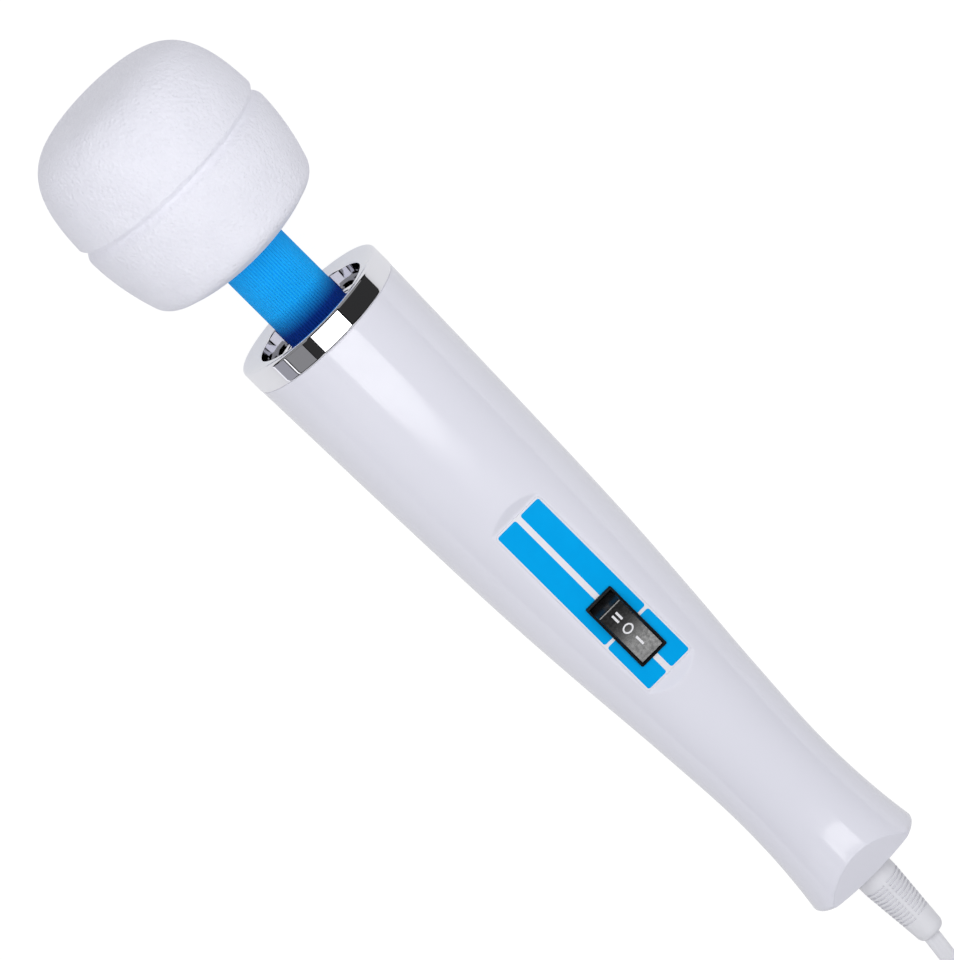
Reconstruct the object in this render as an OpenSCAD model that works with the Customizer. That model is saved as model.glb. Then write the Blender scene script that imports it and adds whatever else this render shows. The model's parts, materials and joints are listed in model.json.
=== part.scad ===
// Handheld wand massager, lying on its back with the switch up.
// Lengths run along the wand from the rim of its tail, at 0, to the tip of its head.

/* [Handle] */
// Length of the plastic handle
handle_len = 211; // [209:1:213]
// Diameter of the handle where it meets the collar
handle_d = 48.4; // [48:0.2:49]
// Diameter at the narrow waist of the handle
waist_d = 32; // [31.6:0.2:32.6]
// Diameter of the flared tail
tail_d = 36.6; // [36:0.2:37.2]
// Thickness of the handle's plastic wall
wall = 3; // [2.9:0.1:3.1]

/* [Collar and neck] */
// Length of the chrome band that shows
collar_len = 7; // [6:0.5:8]
// Diameter of the collar's opening
collar_bore_d = 36.4; // [36:0.2:37]
// Length of neck between the collar and the head
neck_len = 23; // [22:0.5:25]
// Outer diameter of the ribbed neck sleeve
sleeve_d = 20.2; // [19.8:0.2:20.6]

/* [Head] */
// Diameter of the soft head
head_d = 64; // [63:0.5:66]
// Length of the soft head
head_len = 59.2; // [58.2:0.5:61.2]
// Depth of the groove round the head
groove_depth = 1.1; // [0.7:0.1:1.5]

/* [Switch] */
// Length of the label
label_len = 61; // [59:0.2:61.6]
// Width of the label
label_w = 16.4; // [15:0.2:16.6]
// Length of the switch frame
switch_len = 22.7; // [22.5:0.1:23.1]
// Width of the switch frame
switch_w = 9.4; // [9.3:0.1:9.6]
// Tilt of the rocker from off to either of its on positions
rocker_tilt = 10; // [8:1:10]

/* [Cord] */
// Width of the flat twin lead
cord_w = 4.8; // [4.6:0.1:5]
// Thickness of the flat twin lead
cord_t = 2.6; // [2.4:0.1:2.8]

/* [Hidden] */

$fn = 48;
gap = 0.05;                      // fit between pieces that are fixed together
run = 0.04;                      // radial clearance of a shaft in its bearing
big = 120;                       // larger than the wand is thick

handle_r = handle_d / 2;
waist_r = waist_d / 2;
tail_r = tail_d / 2;
sleeve_r = sleeve_d / 2;
head_r = head_d / 2;
waist_x = 32;
tail_round = 1.5;
tail_dome = 1.5;                 // how far the end of the tail bulges
cavity_x = 7;                    // where the hollow of the handle starts

collar_x = handle_len + collar_len;
head_x = collar_x + neck_len;    // rear of the head
tip_x = head_x + head_len;
groove_x = tip_x - 28.8;
flank_x = tip_x - 30.7;          // where the rear of the cushion is widest
flank_fall = 0.0075;             // fall of its radius with distance squared

white = [0.90, 0.90, 0.93];
soft_white = [0.88, 0.88, 0.91];
blue = [0.0, 0.45, 0.85];
chrome = [0.80, 0.81, 0.83];
steel = [0.62, 0.63, 0.65];
black = [0.06, 0.06, 0.07];
brass = [0.80, 0.65, 0.30];
copper = [0.72, 0.40, 0.22];

// ---- Lying pose: the wand rests on the widest part of its head and on the rim of its tail ----
rim_x = tail_round;
lie_tilt = atan((head_r - tail_r) / (flank_x - rim_x));
flank_drop = pow(tan(lie_tilt), 2) / (4 * flank_fall);
lift = tail_r * cos(lie_tilt) - rim_x * sin(lie_tilt) + flank_drop;
relief_len = 27;
middle_x = (tip_x - relief_len) / 2 * cos(lie_tilt);

module lay() translate([-middle_x, 0, lift]) rotate([0, -lie_tilt, 0]) children();
module along_x() rotate([0, 90, 0]) children();
module spin(points) along_x() rotate_extrude($fn = 96) polygon([for (p = points) [p[1], p[0]]]);
module rod(x0, x1, r) translate([x0, 0, 0]) along_x() cylinder(h = x1 - x0, r = r);
module tube(x0, x1, r_out, r_in) difference() {
    rod(x0, x1, r_out);
    rod(x0 - 1, x1 + 1, r_in);
}

// ---- Curves ----
// Points of a circular arc as [along, radius], from angle a0 to a1.
function arc(c, r, a0, a1, n = 6) = [
    for (i = [0:n]) let (a = a0 + (a1 - a0) * i / n) c + r * [cos(a), sin(a)]
];

// Smooth curve through stations [along, radius], flat at the first one.
function rate(p, i) = i == 0 ? 0
    : i == len(p) - 1 ? (p[i][1] - p[i - 1][1]) / (p[i][0] - p[i - 1][0])
    : (p[i + 1][1] - p[i - 1][1]) / (p[i + 1][0] - p[i - 1][0]);
function span(p, x, i = 0) = i >= len(p) - 2 || x <= p[i + 1][0] ? i : span(p, x, i + 1);
function smooth(p, x) = let (i = span(p, x), h = p[i + 1][0] - p[i][0], t = (x - p[i][0]) / h)
    (2 * pow(t, 3) - 3 * t * t + 1) * p[i][1] + (pow(t, 3) - 2 * t * t + t) * h * rate(p, i)
    + (3 * t * t - 2 * pow(t, 3)) * p[i + 1][1] + (pow(t, 3) - t * t) * h * rate(p, i + 1);

// Radius of the handle: a flare below the waist and a long swell above it.
swell = [
    for (s = [[waist_x, 0], [62, 0.18], [90, 0.44], [117, 0.65], [150, 0.8], [handle_len, 1]])
        [s[0], waist_r + s[1] * (handle_r - waist_r)]
];
function handle_radius(x) = x < waist_x
    ? waist_r + (tail_r - waist_r) * pow((waist_x - x) / waist_x, 2.1)
    : smooth(swell, x);

// ---- Handle shells ----
handle_steps = 40;
function steps_from(x0, x1, n) = [for (i = [0:n]) x0 + (x1 - x0) * i / n];

module handle_solid() spin(concat(
    [[-tail_dome, 0]],
    [for (a = [1:4]) let (r = (tail_r - tail_round) * a / 4) [-tail_dome * (1 - pow(a / 4, 2)), r]],
    arc([tail_round, handle_radius(tail_round) - tail_round], tail_round, 165, 90, 4),
    [for (x = steps_from(3, handle_len, handle_steps)) [x, handle_radius(x)]],
    [[handle_len, 0]]
));

module handle_hollow() spin(concat(
    [[cavity_x, 0]],
    [for (x = steps_from(cavity_x, handle_len, 24)) [x, handle_radius(x) - wall]],
    [[handle_len + 1, handle_r - wall], [handle_len + 1, 0]]
));

// The slanted facet at the front of the tail.
slant_x = 8.5;
slant_angle = 37.6;              // from the wand's axis
slant_z = handle_radius(slant_x) - 0.1;
module tail_slant() translate([slant_x, 0, slant_z]) rotate([0, -slant_angle, 0])
    translate([-40, -big / 2, 0]) cube([60, big, 30]);

// The flat that the label lies on follows the handle's taper, with a ramp at each end.
switch_x = 98.9;
label_x0 = 81.2;
label_x1 = label_x0 + label_len;
flat_half = label_w / 2 + 0.4;
function flat_height(x) = sqrt(pow(handle_radius(x), 2) - pow(flat_half, 2));
flat_z0 = flat_height(label_x0);
flat_z1 = flat_height(label_x1);
flat_angle = atan((flat_z1 - flat_z0) / label_len);
flat_margin = 0.5;
ramp = tan(30);
ramp_len = 9;
flat_ends = [
    [label_x0 - flat_margin, flat_z0 - flat_margin * tan(flat_angle)],
    [label_x1 + flat_margin, flat_z1 + flat_margin * tan(flat_angle)]
];
module label_flat() translate([0, big / 2, 0]) rotate([90, 0, 0]) linear_extrude(big) polygon([
    flat_ends[0], flat_ends[1],
    flat_ends[1] + ramp_len * [1, ramp], [flat_ends[1][0] + ramp_len, big],
    [flat_ends[0][0] - ramp_len, big], flat_ends[0] + ramp_len * [-1, ramp]
]);

// Frame of the switch: its own X along the flat, Z out of it, with the origin on the flat.
switch_z = flat_z0 + (switch_x - label_x0) * tan(flat_angle);
module at_switch() translate([switch_x, 0, switch_z]) rotate([0, -flat_angle, 0]) children();
module on_flat(x0, x1, w, h, round) {
    translate([(x0 + x1) / 2, 0, 0]) linear_extrude(h) rounded(x1 - x0, w, round);
}
module rounded(l, w, r) {
    square([l - 2 * r, w], center = true);
    square([l, w - 2 * r], center = true);
    for (x = [-1, 1], y = [-1, 1]) translate([x * (l / 2 - r), y * (w / 2 - r)]) circle(r, $fn = 24);
}

cutout_len = switch_len - 0.5;
cutout_w = switch_w - 0.5;
module switch_cutout() at_switch() translate([-cutout_len / 2, -cutout_w / 2, -20])
    cube([cutout_len, cutout_w, 30]);

boss_places = [[44, 0], [128, 9.5], [128, -9.5]];
boss_r = 3.4;
screw_r = 1.5;
screw_head_r = 2.8;
screw_seat_z = -9;               // where the screw heads bear on the rear shell's bosses
module bosses() for (p = boss_places) translate([p[0], p[1], -big / 2]) cylinder(h = big, r = boss_r);

relief_neck_r = 4.2;
module tail_hole() rod(-5, cavity_x + 1, relief_neck_r);

module shell_body() difference() {
    handle_solid();
    difference() {
        handle_hollow();
        bosses();
    }
    tail_slant();
    tail_hole();
}

module front_shell() color(white) lay() difference() {
    shell_body();
    translate([-10, -big / 2, -big]) cube([handle_len + 20, big, big]);
    label_flat();
    switch_cutout();
    for (p = boss_places) translate([p[0], p[1], -1]) cylinder(h = 10, r = screw_r + gap);
}

module rear_shell() color(white) lay() difference() {
    shell_body();
    translate([-10, -big / 2, 0]) cube([handle_len + 20, big, big]);
    for (p = boss_places) {
        translate([p[0], p[1], -big]) cylinder(h = big + 1, r = screw_r + 0.2);
        translate([p[0], p[1], -big]) cylinder(h = big + screw_seat_z, r = screw_head_r + 0.2);
    }
}

module shell_screws() color(steel) lay() for (p = boss_places) translate([p[0], p[1], screw_seat_z]) {
    difference() {
        translate([0, 0, -2.1]) cylinder(h = 2.1 - gap, r = screw_head_r);
        for (a = [0, 90]) rotate([0, 0, a]) translate([-1.8, -0.4, -3]) cube([3.6, 0.8, 2]);
    }
    translate([0, 0, -gap - 0.01]) cylinder(h = 16, r = screw_r);
}

// ---- Collar ----
collar_r = handle_r + 0.1;
collar_bore_r = collar_bore_d / 2;
spigot_r = handle_r - wall - 0.2;
spigot_len = 5;
spigot_t = 1.5;
floor_x = handle_len;            // the plate at the bottom of the collar's opening
floor_t = 2.5;
neck_hole_r = sleeve_r + 0.6;

module collar_ring() color(chrome) lay() spin(concat(
    [[floor_x - floor_t, neck_hole_r], [floor_x, neck_hole_r], [floor_x, collar_bore_r - 0.6]],
    arc([collar_x - 1.4, collar_bore_r + 0.5], 0.5, 270, 360, 4),
    arc([collar_x - 0.8, collar_r - 0.8], 0.8, 0, 90, 5),
    [[handle_len + gap, collar_r], [handle_len + gap, spigot_r], [handle_len - spigot_len, spigot_r],
     [handle_len - spigot_len, spigot_r - spigot_t], [floor_x - floor_t, spigot_r - spigot_t]]
));

// ---- Label and switch ----
plate_t = 0.4;
module label_plate() color(blue) lay() at_switch() difference() {
    translate([0, 0, 0.02])
        on_flat(label_x0 - switch_x + 0.3, label_x1 - switch_x - 0.3, label_w, plate_t, 1);
    translate([-cutout_len / 2, -cutout_w / 2, -1]) cube([cutout_len, cutout_w, 3]);
}

bezel_h = 0.9;
bezel_z = plate_t + 0.04;
well_len = switch_len - 1.4;
well_w = switch_w - 1.3;
well_depth = 11;
pivot_depth = 5;
pivot_z = bezel_z + bezel_h - pivot_depth;
pivot_r = 1;

module switch_housing() color(black) lay() at_switch() difference() {
    union() {
        translate([0, 0, bezel_z]) linear_extrude(bezel_h) rounded(switch_len, switch_w, 0.5);
        translate([-cutout_len / 2 + gap, -cutout_w / 2 + gap, -well_depth])
            cube([cutout_len - 2 * gap, cutout_w - 2 * gap, well_depth + bezel_z + 0.01]);
    }
    translate([-well_len / 2, -well_w / 2, well_floor_z]) cube([well_len, well_w, big]);
    for (x = [-7, 0, 7]) translate([x - 0.5 - gap, -2.2, -big / 2]) cube([1 + 2 * gap, 4.4, big / 2]);
    translate([0, big / 2, pivot_z]) rotate([90, 0, 0]) cylinder(h = big, r = pivot_r + run, $fn = 32);
}

// Three terminals come up through the well's floor: a contact pad at each end, and in the middle
// the post that the contact arm rocks on.
arm_z = -5;                      // of the arm's own pivot, from the rocker's
arm_pin_r = 0.5;
well_floor_z = -well_depth + 1.2;
module switch_terminals() color(brass) lay() at_switch() {
    for (x = [-7, 0, 7]) translate([x - 0.5, -2.1, -well_depth - 5]) cube([1, 4.2, 6.3]);
    for (x = [-7, 7]) translate([x - 1.2, -1.6, well_floor_z + gap]) cube([2.4, 3.2, 0.35]);
    translate([-0.5, -1.6, well_floor_z]) cube([1, 3.2, pivot_z + arm_z - arm_pin_r - gap - well_floor_z]);
}

// Rocker, drawn level about its pivot: a shallow dished top with ends that clear the well.
rocker_half = 9.4;
rocker_top = 6.9;
rocker_w = well_w - 0.2;
rocker_side = concat(
    [for (t = [-1:0.2:1]) [rocker_half * t, rocker_top - 0.6 * (1 - t * t)]],
    [[10.35, 1.5], [9.45, -0.8], [2.4, -1.8], [-2.4, -1.8], [-9.45, -0.8], [-10.35, 1.5]]
);
module rocker_level() translate([0, rocker_w / 2, 0]) rotate([90, 0, 0]) linear_extrude(rocker_w)
    polygon(rocker_side);
module at_pivot() lay() at_switch() translate([0, 0, pivot_z]) children();

module rocker() color(black) at_pivot() rotate([0, -rocker_tilt, 0]) difference() {
    union() {
        rocker_level();
        translate([0, switch_w / 2 - 0.35, 0]) rotate([90, 0, 0])
            cylinder(h = switch_w - 0.7, r = pivot_r, $fn = 32);
    }
    translate([0, 0, -3]) cylinder(h = 6, r = 1.1 + gap, $fn = 24);
}

plunger_reach = 4.5;             // from the pivot down to the plunger's tip
module rocker_plunger() color(steel) at_pivot() rotate([0, -rocker_tilt, 0])
    translate([0, 0, -plunger_reach]) along_z_pin(1.1, plunger_reach + 2.8);
module along_z_pin(r, h) {
    translate([0, 0, r]) cylinder(h = h - r, r = r, $fn = 24);
    translate([0, 0, r]) sphere(r = r, $fn = 24);
}

// The contact arm tips the other way as the plunger passes over it.
arm_tilt = rocker_tilt / 2;
module contact_arm() color(brass) at_pivot() translate([0, 0, arm_z]) rotate([0, arm_tilt, 0]) {
    translate([-7.4, -1.5, 0]) cube([14.8, 3, 0.4]);
    translate([0, 1.5, 0]) rotate([90, 0, 0]) cylinder(h = 3, r = arm_pin_r, $fn = 24);
}

// ---- Neck ----
mount_x0 = 201;
spring_x0 = handle_len - 3.5;
spring_x1 = head_x + 4;
sleeve_x0 = handle_len - 3.2;
sleeve_x1 = head_x + 3.4;
sleeve_in_r = sleeve_r - 1.1;
seat_r = 6.6;
bore_r = 5.6;
neck_wire_r = 0.8;

module neck_mount() color(steel) lay() {
    tube(mount_x0, mount_x0 + 4, handle_r - wall - 0.5, bore_r);
    tube(mount_x0 + 4 - 0.01, spring_x0 - gap, sleeve_in_r, bore_r);
    tube(spring_x0 - gap - 0.01, spring_x0 + 6, seat_r, bore_r);
}

module neck_sleeve() color(blue) lay() tube(sleeve_x0, sleeve_x1, sleeve_r, sleeve_in_r);

// One solid swept along a path, with an oval cross-section of the given half width and half thickness.
function unit(v) = v / norm(v);
module sweep(path, ups, half_w, half_t, sides) {
    n = len(path);
    ring = [for (i = [0:n - 1])
        let (d = unit(path[min(i + 1, n - 1)] - path[max(i - 1, 0)]),
             s = unit(cross(d, ups[i])), u = cross(s, d))
        for (a = [0:360 / sides:359]) path[i] + s * half_w * cos(a) + u * half_t * sin(a)];
    sides_of = [for (i = [0:n - 2], k = [0:sides - 1]) let (j = (k + 1) % sides)
        [i * sides + k, i * sides + j, (i + 1) * sides + j, (i + 1) * sides + k]];
    polyhedron(ring, concat([[for (k = [sides - 1:-1:0]) k]], sides_of,
        [[for (k = [0:sides - 1]) (n - 1) * sides + k]]), convexity = 10);
}
module coil_spring(x0, x1, r, wire_r, turns, per_turn) {
    steps = turns * per_turn;
    path = [for (i = [0:steps]) let (a = 360 * i / per_turn)
        [x0 + (x1 - x0) * i / steps, r * cos(a), r * sin(a)]];
    sweep(path, [for (p = path) [1, 0, 0]], wire_r, wire_r, 8);
}

module neck_spring() color(steel) lay()
    coil_spring(spring_x0 + 1.2, spring_x1 - 1.2, seat_r + neck_wire_r + 0.35, neck_wire_r, 12, 16);

hub_x0 = mount_x0 + 1;
drive_x0 = hub_x0 + 6;
driven_x1 = head_x + 13;
driven_x0 = head_x - 1;
module drive_spring() color(steel) lay() coil_spring(drive_x0 + 0.8, driven_x0 - 0.8, 4, 0.6, 14, 12);

// ---- Motor ----
motor_x0 = 146;                  // rear of the can
motor_x1 = 190;                  // front of the can
can_r = 17;
can_t = 1.2;
shaft_r = 2;
magnet_t = 3.2;
bearing_r = 6;

module motor_can() color(steel) lay() tube(motor_x0, motor_x1, can_r, can_r - can_t);

module motor_front_cap() color(steel) lay() difference() {
    union() {
        rod(motor_x1 + gap, motor_x1 + 2.5, can_r);
        rod(motor_x1 + 2.4, motor_x1 + 7, bearing_r + 1.5);
    }
    rod(motor_x1 - 1, motor_x1 + 5.5, bearing_r + gap);
    rod(motor_x1, motor_x1 + 10, shaft_r + 0.8);
}

brush_x = motor_x0 - 4;
brush_w = 4;
brush_h = 5;
brush_len = 9;
module motor_rear_cap() color(black) lay() difference() {
    union() {
        rod(motor_x0 - 8, motor_x0 - gap, can_r);
        rod(motor_x0 - 11, motor_x0 - 7.9, bearing_r + 1.5);
    }
    rod(motor_x0 - 9.5, motor_x0 + 1, bearing_r + gap);
    rod(motor_x0 - 6, motor_x0 + 1, can_r - 5);
    rod(motor_x0 - 12, motor_x0, shaft_r + 0.8);
    for (s = [-1, 1]) translate([brush_x, s * 11, 0])
        cube([brush_w + 2 * gap, 14, brush_h + 2 * gap], center = true);
}

module motor_magnets() color(black) lay() difference() {
    tube(motor_x0 + 4, motor_x1 - 4, can_r - can_t - gap, can_r - can_t - magnet_t);
    translate([motor_x0, -4, -big / 2]) cube([60, 8, big]);
}

commutator_r = 4.5;
module motor_brushes() color([0.2, 0.2, 0.2]) lay() for (s = [-1, 1])
    translate([brush_x, s * (commutator_r + 0.1 + brush_len / 2), 0])
        cube([brush_w, brush_len, brush_h], center = true);

module bearing(x0, r_out, r_in, w) {
    tube(x0, x0 + w, r_out, r_out - 1.2);
    tube(x0, x0 + w, r_in + 1.2, r_in);
    ball_r = (r_out - r_in) / 2 - 1.2 - gap;
    for (a = [0:45:359]) rotate([a, 0, 0])
        translate([x0 + w / 2, 0, (r_out + r_in) / 2]) sphere(r = ball_r, $fn = 16);
}
module motor_bearing_front() color(steel) lay() bearing(motor_x1 + 1, bearing_r, shaft_r + run, 4.4);
module motor_bearing_rear() color(steel) lay() bearing(motor_x0 - 9.4, bearing_r, shaft_r + run, 3.2);

module rubber_ring(x0, r_in) tube(x0, x0 + 6, handle_radius(x0) - wall - 0.15, r_in + gap);
module motor_ring_front() color(black) lay() rubber_ring(motor_x1 - 8, can_r);
module motor_ring_rear() color(black) lay() rubber_ring(motor_x0 + 2, can_r);

module motor_shaft() color(steel) lay() rod(motor_x0 - 10, hub_x0 + 5, shaft_r);

core_r = can_r - can_t - magnet_t - 0.5;
slots = 7;
stack_x = motor_x0 + 7;          // the stack of rotor laminations
stack_len = 30;
winding_at = core_r * 0.62;
winding_r = 2.3;
module rotor_core() color(steel) lay() translate([stack_x, 0, 0]) along_x() linear_extrude(stack_len)
    difference() {
        circle(core_r);
        circle(shaft_r + gap);
        for (i = [0:slots - 1]) rotate(360 * i / slots) {
            translate([winding_at, 0]) circle(winding_r + 0.3, $fn = 24);
            translate([winding_at, -0.6]) square([core_r, 1.2]);
        }
    }

module rotor_windings() color(copper) lay() {
    for (x = [stack_x - 4.1, stack_x + stack_len + gap]) tube(x, x + 4, core_r - 1.2, shaft_r + 1.5);
    for (i = [0:slots - 1]) rotate([360 * i / slots, 0, 0]) translate([0, 0, -winding_at])
        rod(stack_x - gap - 0.1, stack_x + stack_len + gap + 0.1, winding_r);
}

module commutator() color(copper) lay() difference() {
    rod(motor_x0 - 5.9, motor_x0 + 2, commutator_r);
    rod(motor_x0 - 7, motor_x0 + 3, shaft_r + gap);
    for (i = [0:slots - 1]) rotate([360 * i / slots, 0, 0])
        translate([motor_x0 - 7, -0.25, commutator_r - 0.8]) cube([12, 0.5, 2]);
}

module hub(x0, x1, bore_x0, bore_x1) difference() {
    rod(x0, x1, 5);
    rod(bore_x0, bore_x1, shaft_r + gap);
}
module drive_hub() color(brass) lay() hub(hub_x0, drive_x0, hub_x0 - 1, hub_x0 + 5 + gap);

// ---- Head ----
// Outer line of the cushion: a blunt nose, a groove, a falling flank and a rounded rear.
nose_len = 32;
nose_power_x = 2.75;             // both make the nose blunter as they grow, this one lengthwise
nose_power_r = 4.4;              // and this one across
function nose(t) = [tip_x - nose_len * (1 - pow(cos(t), 2 / nose_power_x)),
    (head_r - 0.1) * pow(sin(t), 2 / nose_power_r)];
function flank(x) = head_r - flank_fall * pow(flank_x - x, 2);
rear_corner = 6.5;
rear_corner_x = head_x + 7;      // where the flank runs into the rounding of the rear
rear_slope = atan(2 * flank_fall * (flank_x - rear_corner_x));
rear_centre = [rear_corner_x + rear_corner * sin(rear_slope),
    flank(rear_corner_x) - rear_corner * cos(rear_slope)];
core_x0 = head_x + 5;
core_x1 = tip_x - 11;
core_out_r = 24.5;
cushion_outer = concat(
    [for (t = [0, 1.2, each [5:5:85]]) nose(t)],
    [[groove_x + 1.6, head_r - 0.35], [groove_x + 0.5, head_r - groove_depth],
     [groove_x - 0.5, head_r - groove_depth], [groove_x - 1.4, head_r - 0.3]],
    [for (x = steps_from(flank_x, rear_corner_x + 1, 9)) [x, flank(x)]],
    arc(rear_centre, rear_corner, 90 + rear_slope, 165, 6),
    [[head_x + 0.8, 18], [head_x, 12]]
);
cushion_inner = [
    [head_x + 0.4, sleeve_r + 0.5], [core_x0 - 0.2, sleeve_r + 0.5], [core_x0 - 0.2, core_out_r + 0.2],
    [core_x1 - 3, core_out_r + 0.2], [core_x1 + 0.2, core_out_r - 3], [core_x1 + 0.2, 0]
];
module head_cushion() color(soft_white) lay() spin(concat(cushion_outer, cushion_inner));

core_wall = 2.5;
core_split = core_x0 + 22;
head_shaft_r = 3;
head_bearing_r = 9;
module core_screw_places() for (a = [45:90:359]) rotate([a, 0, 0]) translate([0, 0, 19.4]) children();

module head_core_rear() color(white) lay() difference() {
    union() {
        difference() {
            rod(core_x0, core_split, core_out_r);
            difference() {
                rod(core_x0 + 4, core_split + 1, core_out_r - core_wall);
                core_screw_places() rod(core_x0, core_split + 1, 2.9);
                rod(core_x0, core_x0 + 9, head_bearing_r + 2);
            }
        }
        rod(spring_x1 - 6, spring_x1, seat_r);
        rod(spring_x1 - 0.01, core_x0 + 0.01, sleeve_in_r);
    }
    rod(spring_x1 - 8, core_x0 + 5, bore_r);
    rod(core_x0 + 4, core_x0 + 10, head_bearing_r + gap);
    core_screw_places() rod(core_x0 + 3, core_split + 1, screw_r + gap);
}

module head_core_front() color(white) lay() difference() {
    rod(core_split + gap, core_x1, core_out_r);
    difference() {
        rod(core_split - 1, core_x1 - 3, core_out_r - core_wall);
        core_screw_places() rod(core_split - 1, core_x1, 2.9);
        rod(core_x1 - 9, core_x1, head_bearing_r + 2);
    }
    rod(core_x1 - 10, core_x1 - 4, head_bearing_r + gap);
    core_screw_places() {
        rod(core_split - 1, core_x1 + 1, screw_r + 0.2);
        rod(core_x1 - 3, core_x1 + 1, screw_head_r + 0.2);
    }
    translate([core_x1 - 3 - 0.01, 0, 0]) along_x() difference() {
        cylinder(h = 4, r = core_out_r + 1);
        translate([0, 0, -0.01]) cylinder(h = 4.02, r1 = core_out_r, r2 = core_out_r - 4, $fn = 48);
    }
}

module core_screws() color(steel) lay() core_screw_places() {
    rod(core_x1 - 3 + gap, core_x1 - 1, screw_head_r);
    rod(core_split - 12, core_x1 - 3 + gap + 0.01, screw_r);
}

module head_bearing_rear() color(steel) lay() bearing(core_x0 + 4.2, head_bearing_r, head_shaft_r + run, 4.6);
module head_bearing_front() color(steel) lay() bearing(core_x1 - 9, head_bearing_r, head_shaft_r + run, 4.6);

module eccentric_shaft() color(steel) lay() union() {
    rod(driven_x1 - 1, core_x1 - 4.2, head_shaft_r);
    rod(driven_x0 + 2, driven_x1 - 0.99, shaft_r);
}

weight_x0 = core_x0 + 15;
weight_x1 = core_x1 - 15;
weight_r = 12;
module eccentric_weight() color(brass) lay() difference() {
    rod(weight_x0, weight_x1, weight_r);
    rod(weight_x0 - 1, weight_x1 + 1, head_shaft_r + gap);
    translate([weight_x0 - 1, -big / 2, head_shaft_r + 1.2]) cube([weight_x1 - weight_x0 + 2, big, big]);
}

module driven_hub() color(brass) lay() hub(driven_x0, driven_x0 + 8, driven_x0 + 2 - gap, driven_x0 + 9);

// ---- Electrics ----
board_x0 = 56;
board_x1 = 84;
board_z = 1;
module circuit_board() color([0.1, 0.35, 0.2]) lay()
    translate([board_x0, -11, board_z]) cube([board_x1 - board_x0, 22, 1.6]);

module board_parts() color([0.15, 0.15, 0.18]) lay() {
    translate([board_x0 + 7, 8, board_z - 5 - gap]) rotate([90, 0, 0]) cylinder(h = 16, r = 5);
    translate([board_x0 + 14, -5, board_z - 4.5 - gap]) cube([9, 10, 4.5]);
    translate([board_x0 + 20, -6, board_z + 1.6 + gap]) cube([5, 12, 3]);
}

// Insulated wires between the cord, the board, the switch and the motor.
module wire(points) {
    n = (len(points) - 1) * 4;
    path = [for (i = [0:n]) wire_point(points, i / 4)];
    sweep(path, [for (p = path) [0.31, 0.95, 0.05]], 0.7, 0.7, 8);
}
function wire_point(p, s) = let (i = min(floor(s), len(p) - 2), t = s - i,
    a = p[max(i - 1, 0)], b = p[i], c = p[i + 1], d = p[min(i + 2, len(p) - 1)])
    b + (c - a) * t / 2 + (2 * a - 5 * b + 4 * c - d) * t * t / 2 + (3 * b - a - 3 * c + d) * pow(t, 3) / 2;

module lead_wires() color([0.8, 0.15, 0.1]) lay() for (s = [-1, 1]) {
    wire([[26, s * 1.6, 0], [36, s * 5, -2], [46, s * 7.5, -3], [54, s * 8, -3], [60, s * 9.8, -2.5],
        [64, s * 9.8, 0.2]]);
    wire([[88, s * 6.8, 2.2], [98, s * 8.5, 1], [112, s * 10, -1], [122, s * 4, -4], [130, s * 4.5, -6],
        [134, s * 8, -6.5], [137.3, s * 8.2, -6.5]]);
}

module cord_clamp() color(white) lay() difference() {
    translate([15, -9, -6]) cube([6, 18, 12]);
    translate([10, -cord_w / 2 - gap, -cord_t / 2 - gap]) cube([20, cord_w + 2 * gap, cord_t + 2 * gap]);
    for (s = [-1, 1]) translate([18, s * 6.2, -10]) cylinder(h = 20, r = 1.2 + gap, $fn = 24);
}

module clamp_screws() color(steel) lay() for (s = [-1, 1]) translate([18, s * 6.2, 0]) {
    translate([0, 0, -5]) cylinder(h = 11.1, r = 1.2, $fn = 24);
    translate([0, 0, 6 + gap]) cylinder(h = 1.4, r = 2.1, $fn = 24);
}

// ---- Strain relief and cord ----
relief_root_r = 5.8;
relief_tip_r = 4.1;
slot_count = 11;                 // flexing slots on each side of the webs
slot_x = -6.1;
slot_pitch = 1.3;
slot_w = 0.55;
slot_stagger = 0.35;             // how far one side's slots lie nearer the tip
slot_root_r = 3.4;               // the slots stop clear of the cord
web_w = 1.2;                     // the web left between the two sides, front and rear
module relief_slots() difference() {
    for (i = [0:slot_count - 1], s = [-1, 1])
        translate([slot_x - i * slot_pitch - (s > 0 ? slot_stagger : 0), s * (web_w + big) / 2, 0])
            cube([slot_w, big, big], center = true);
    rod(-relief_len, 0, slot_root_r);
}
module strain_relief() color(white) lay() difference() {
    union() {
        spin(concat(
            [[-tail_dome - 0.1, 0], [-tail_dome - 0.1, relief_root_r], [-6.5, relief_root_r]],
            [[-relief_len + 2, relief_tip_r + 0.1]],
            arc([-relief_len + 1.6, relief_tip_r - 1.6], 1.6, 90, 180, 4),
            [[-relief_len, 0]]
        ));
        rod(-tail_dome - 0.2, cavity_x + 1.2, relief_neck_r - gap);
        rod(cavity_x + gap, cavity_x + 3, relief_root_r);
    }
    translate([-relief_len - 1, -cord_w / 2 - gap, -cord_t / 2 - gap])
        cube([relief_len + 14, cord_w + 2 * gap, cord_t + 2 * gap]);
    relief_slots();
}

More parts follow.
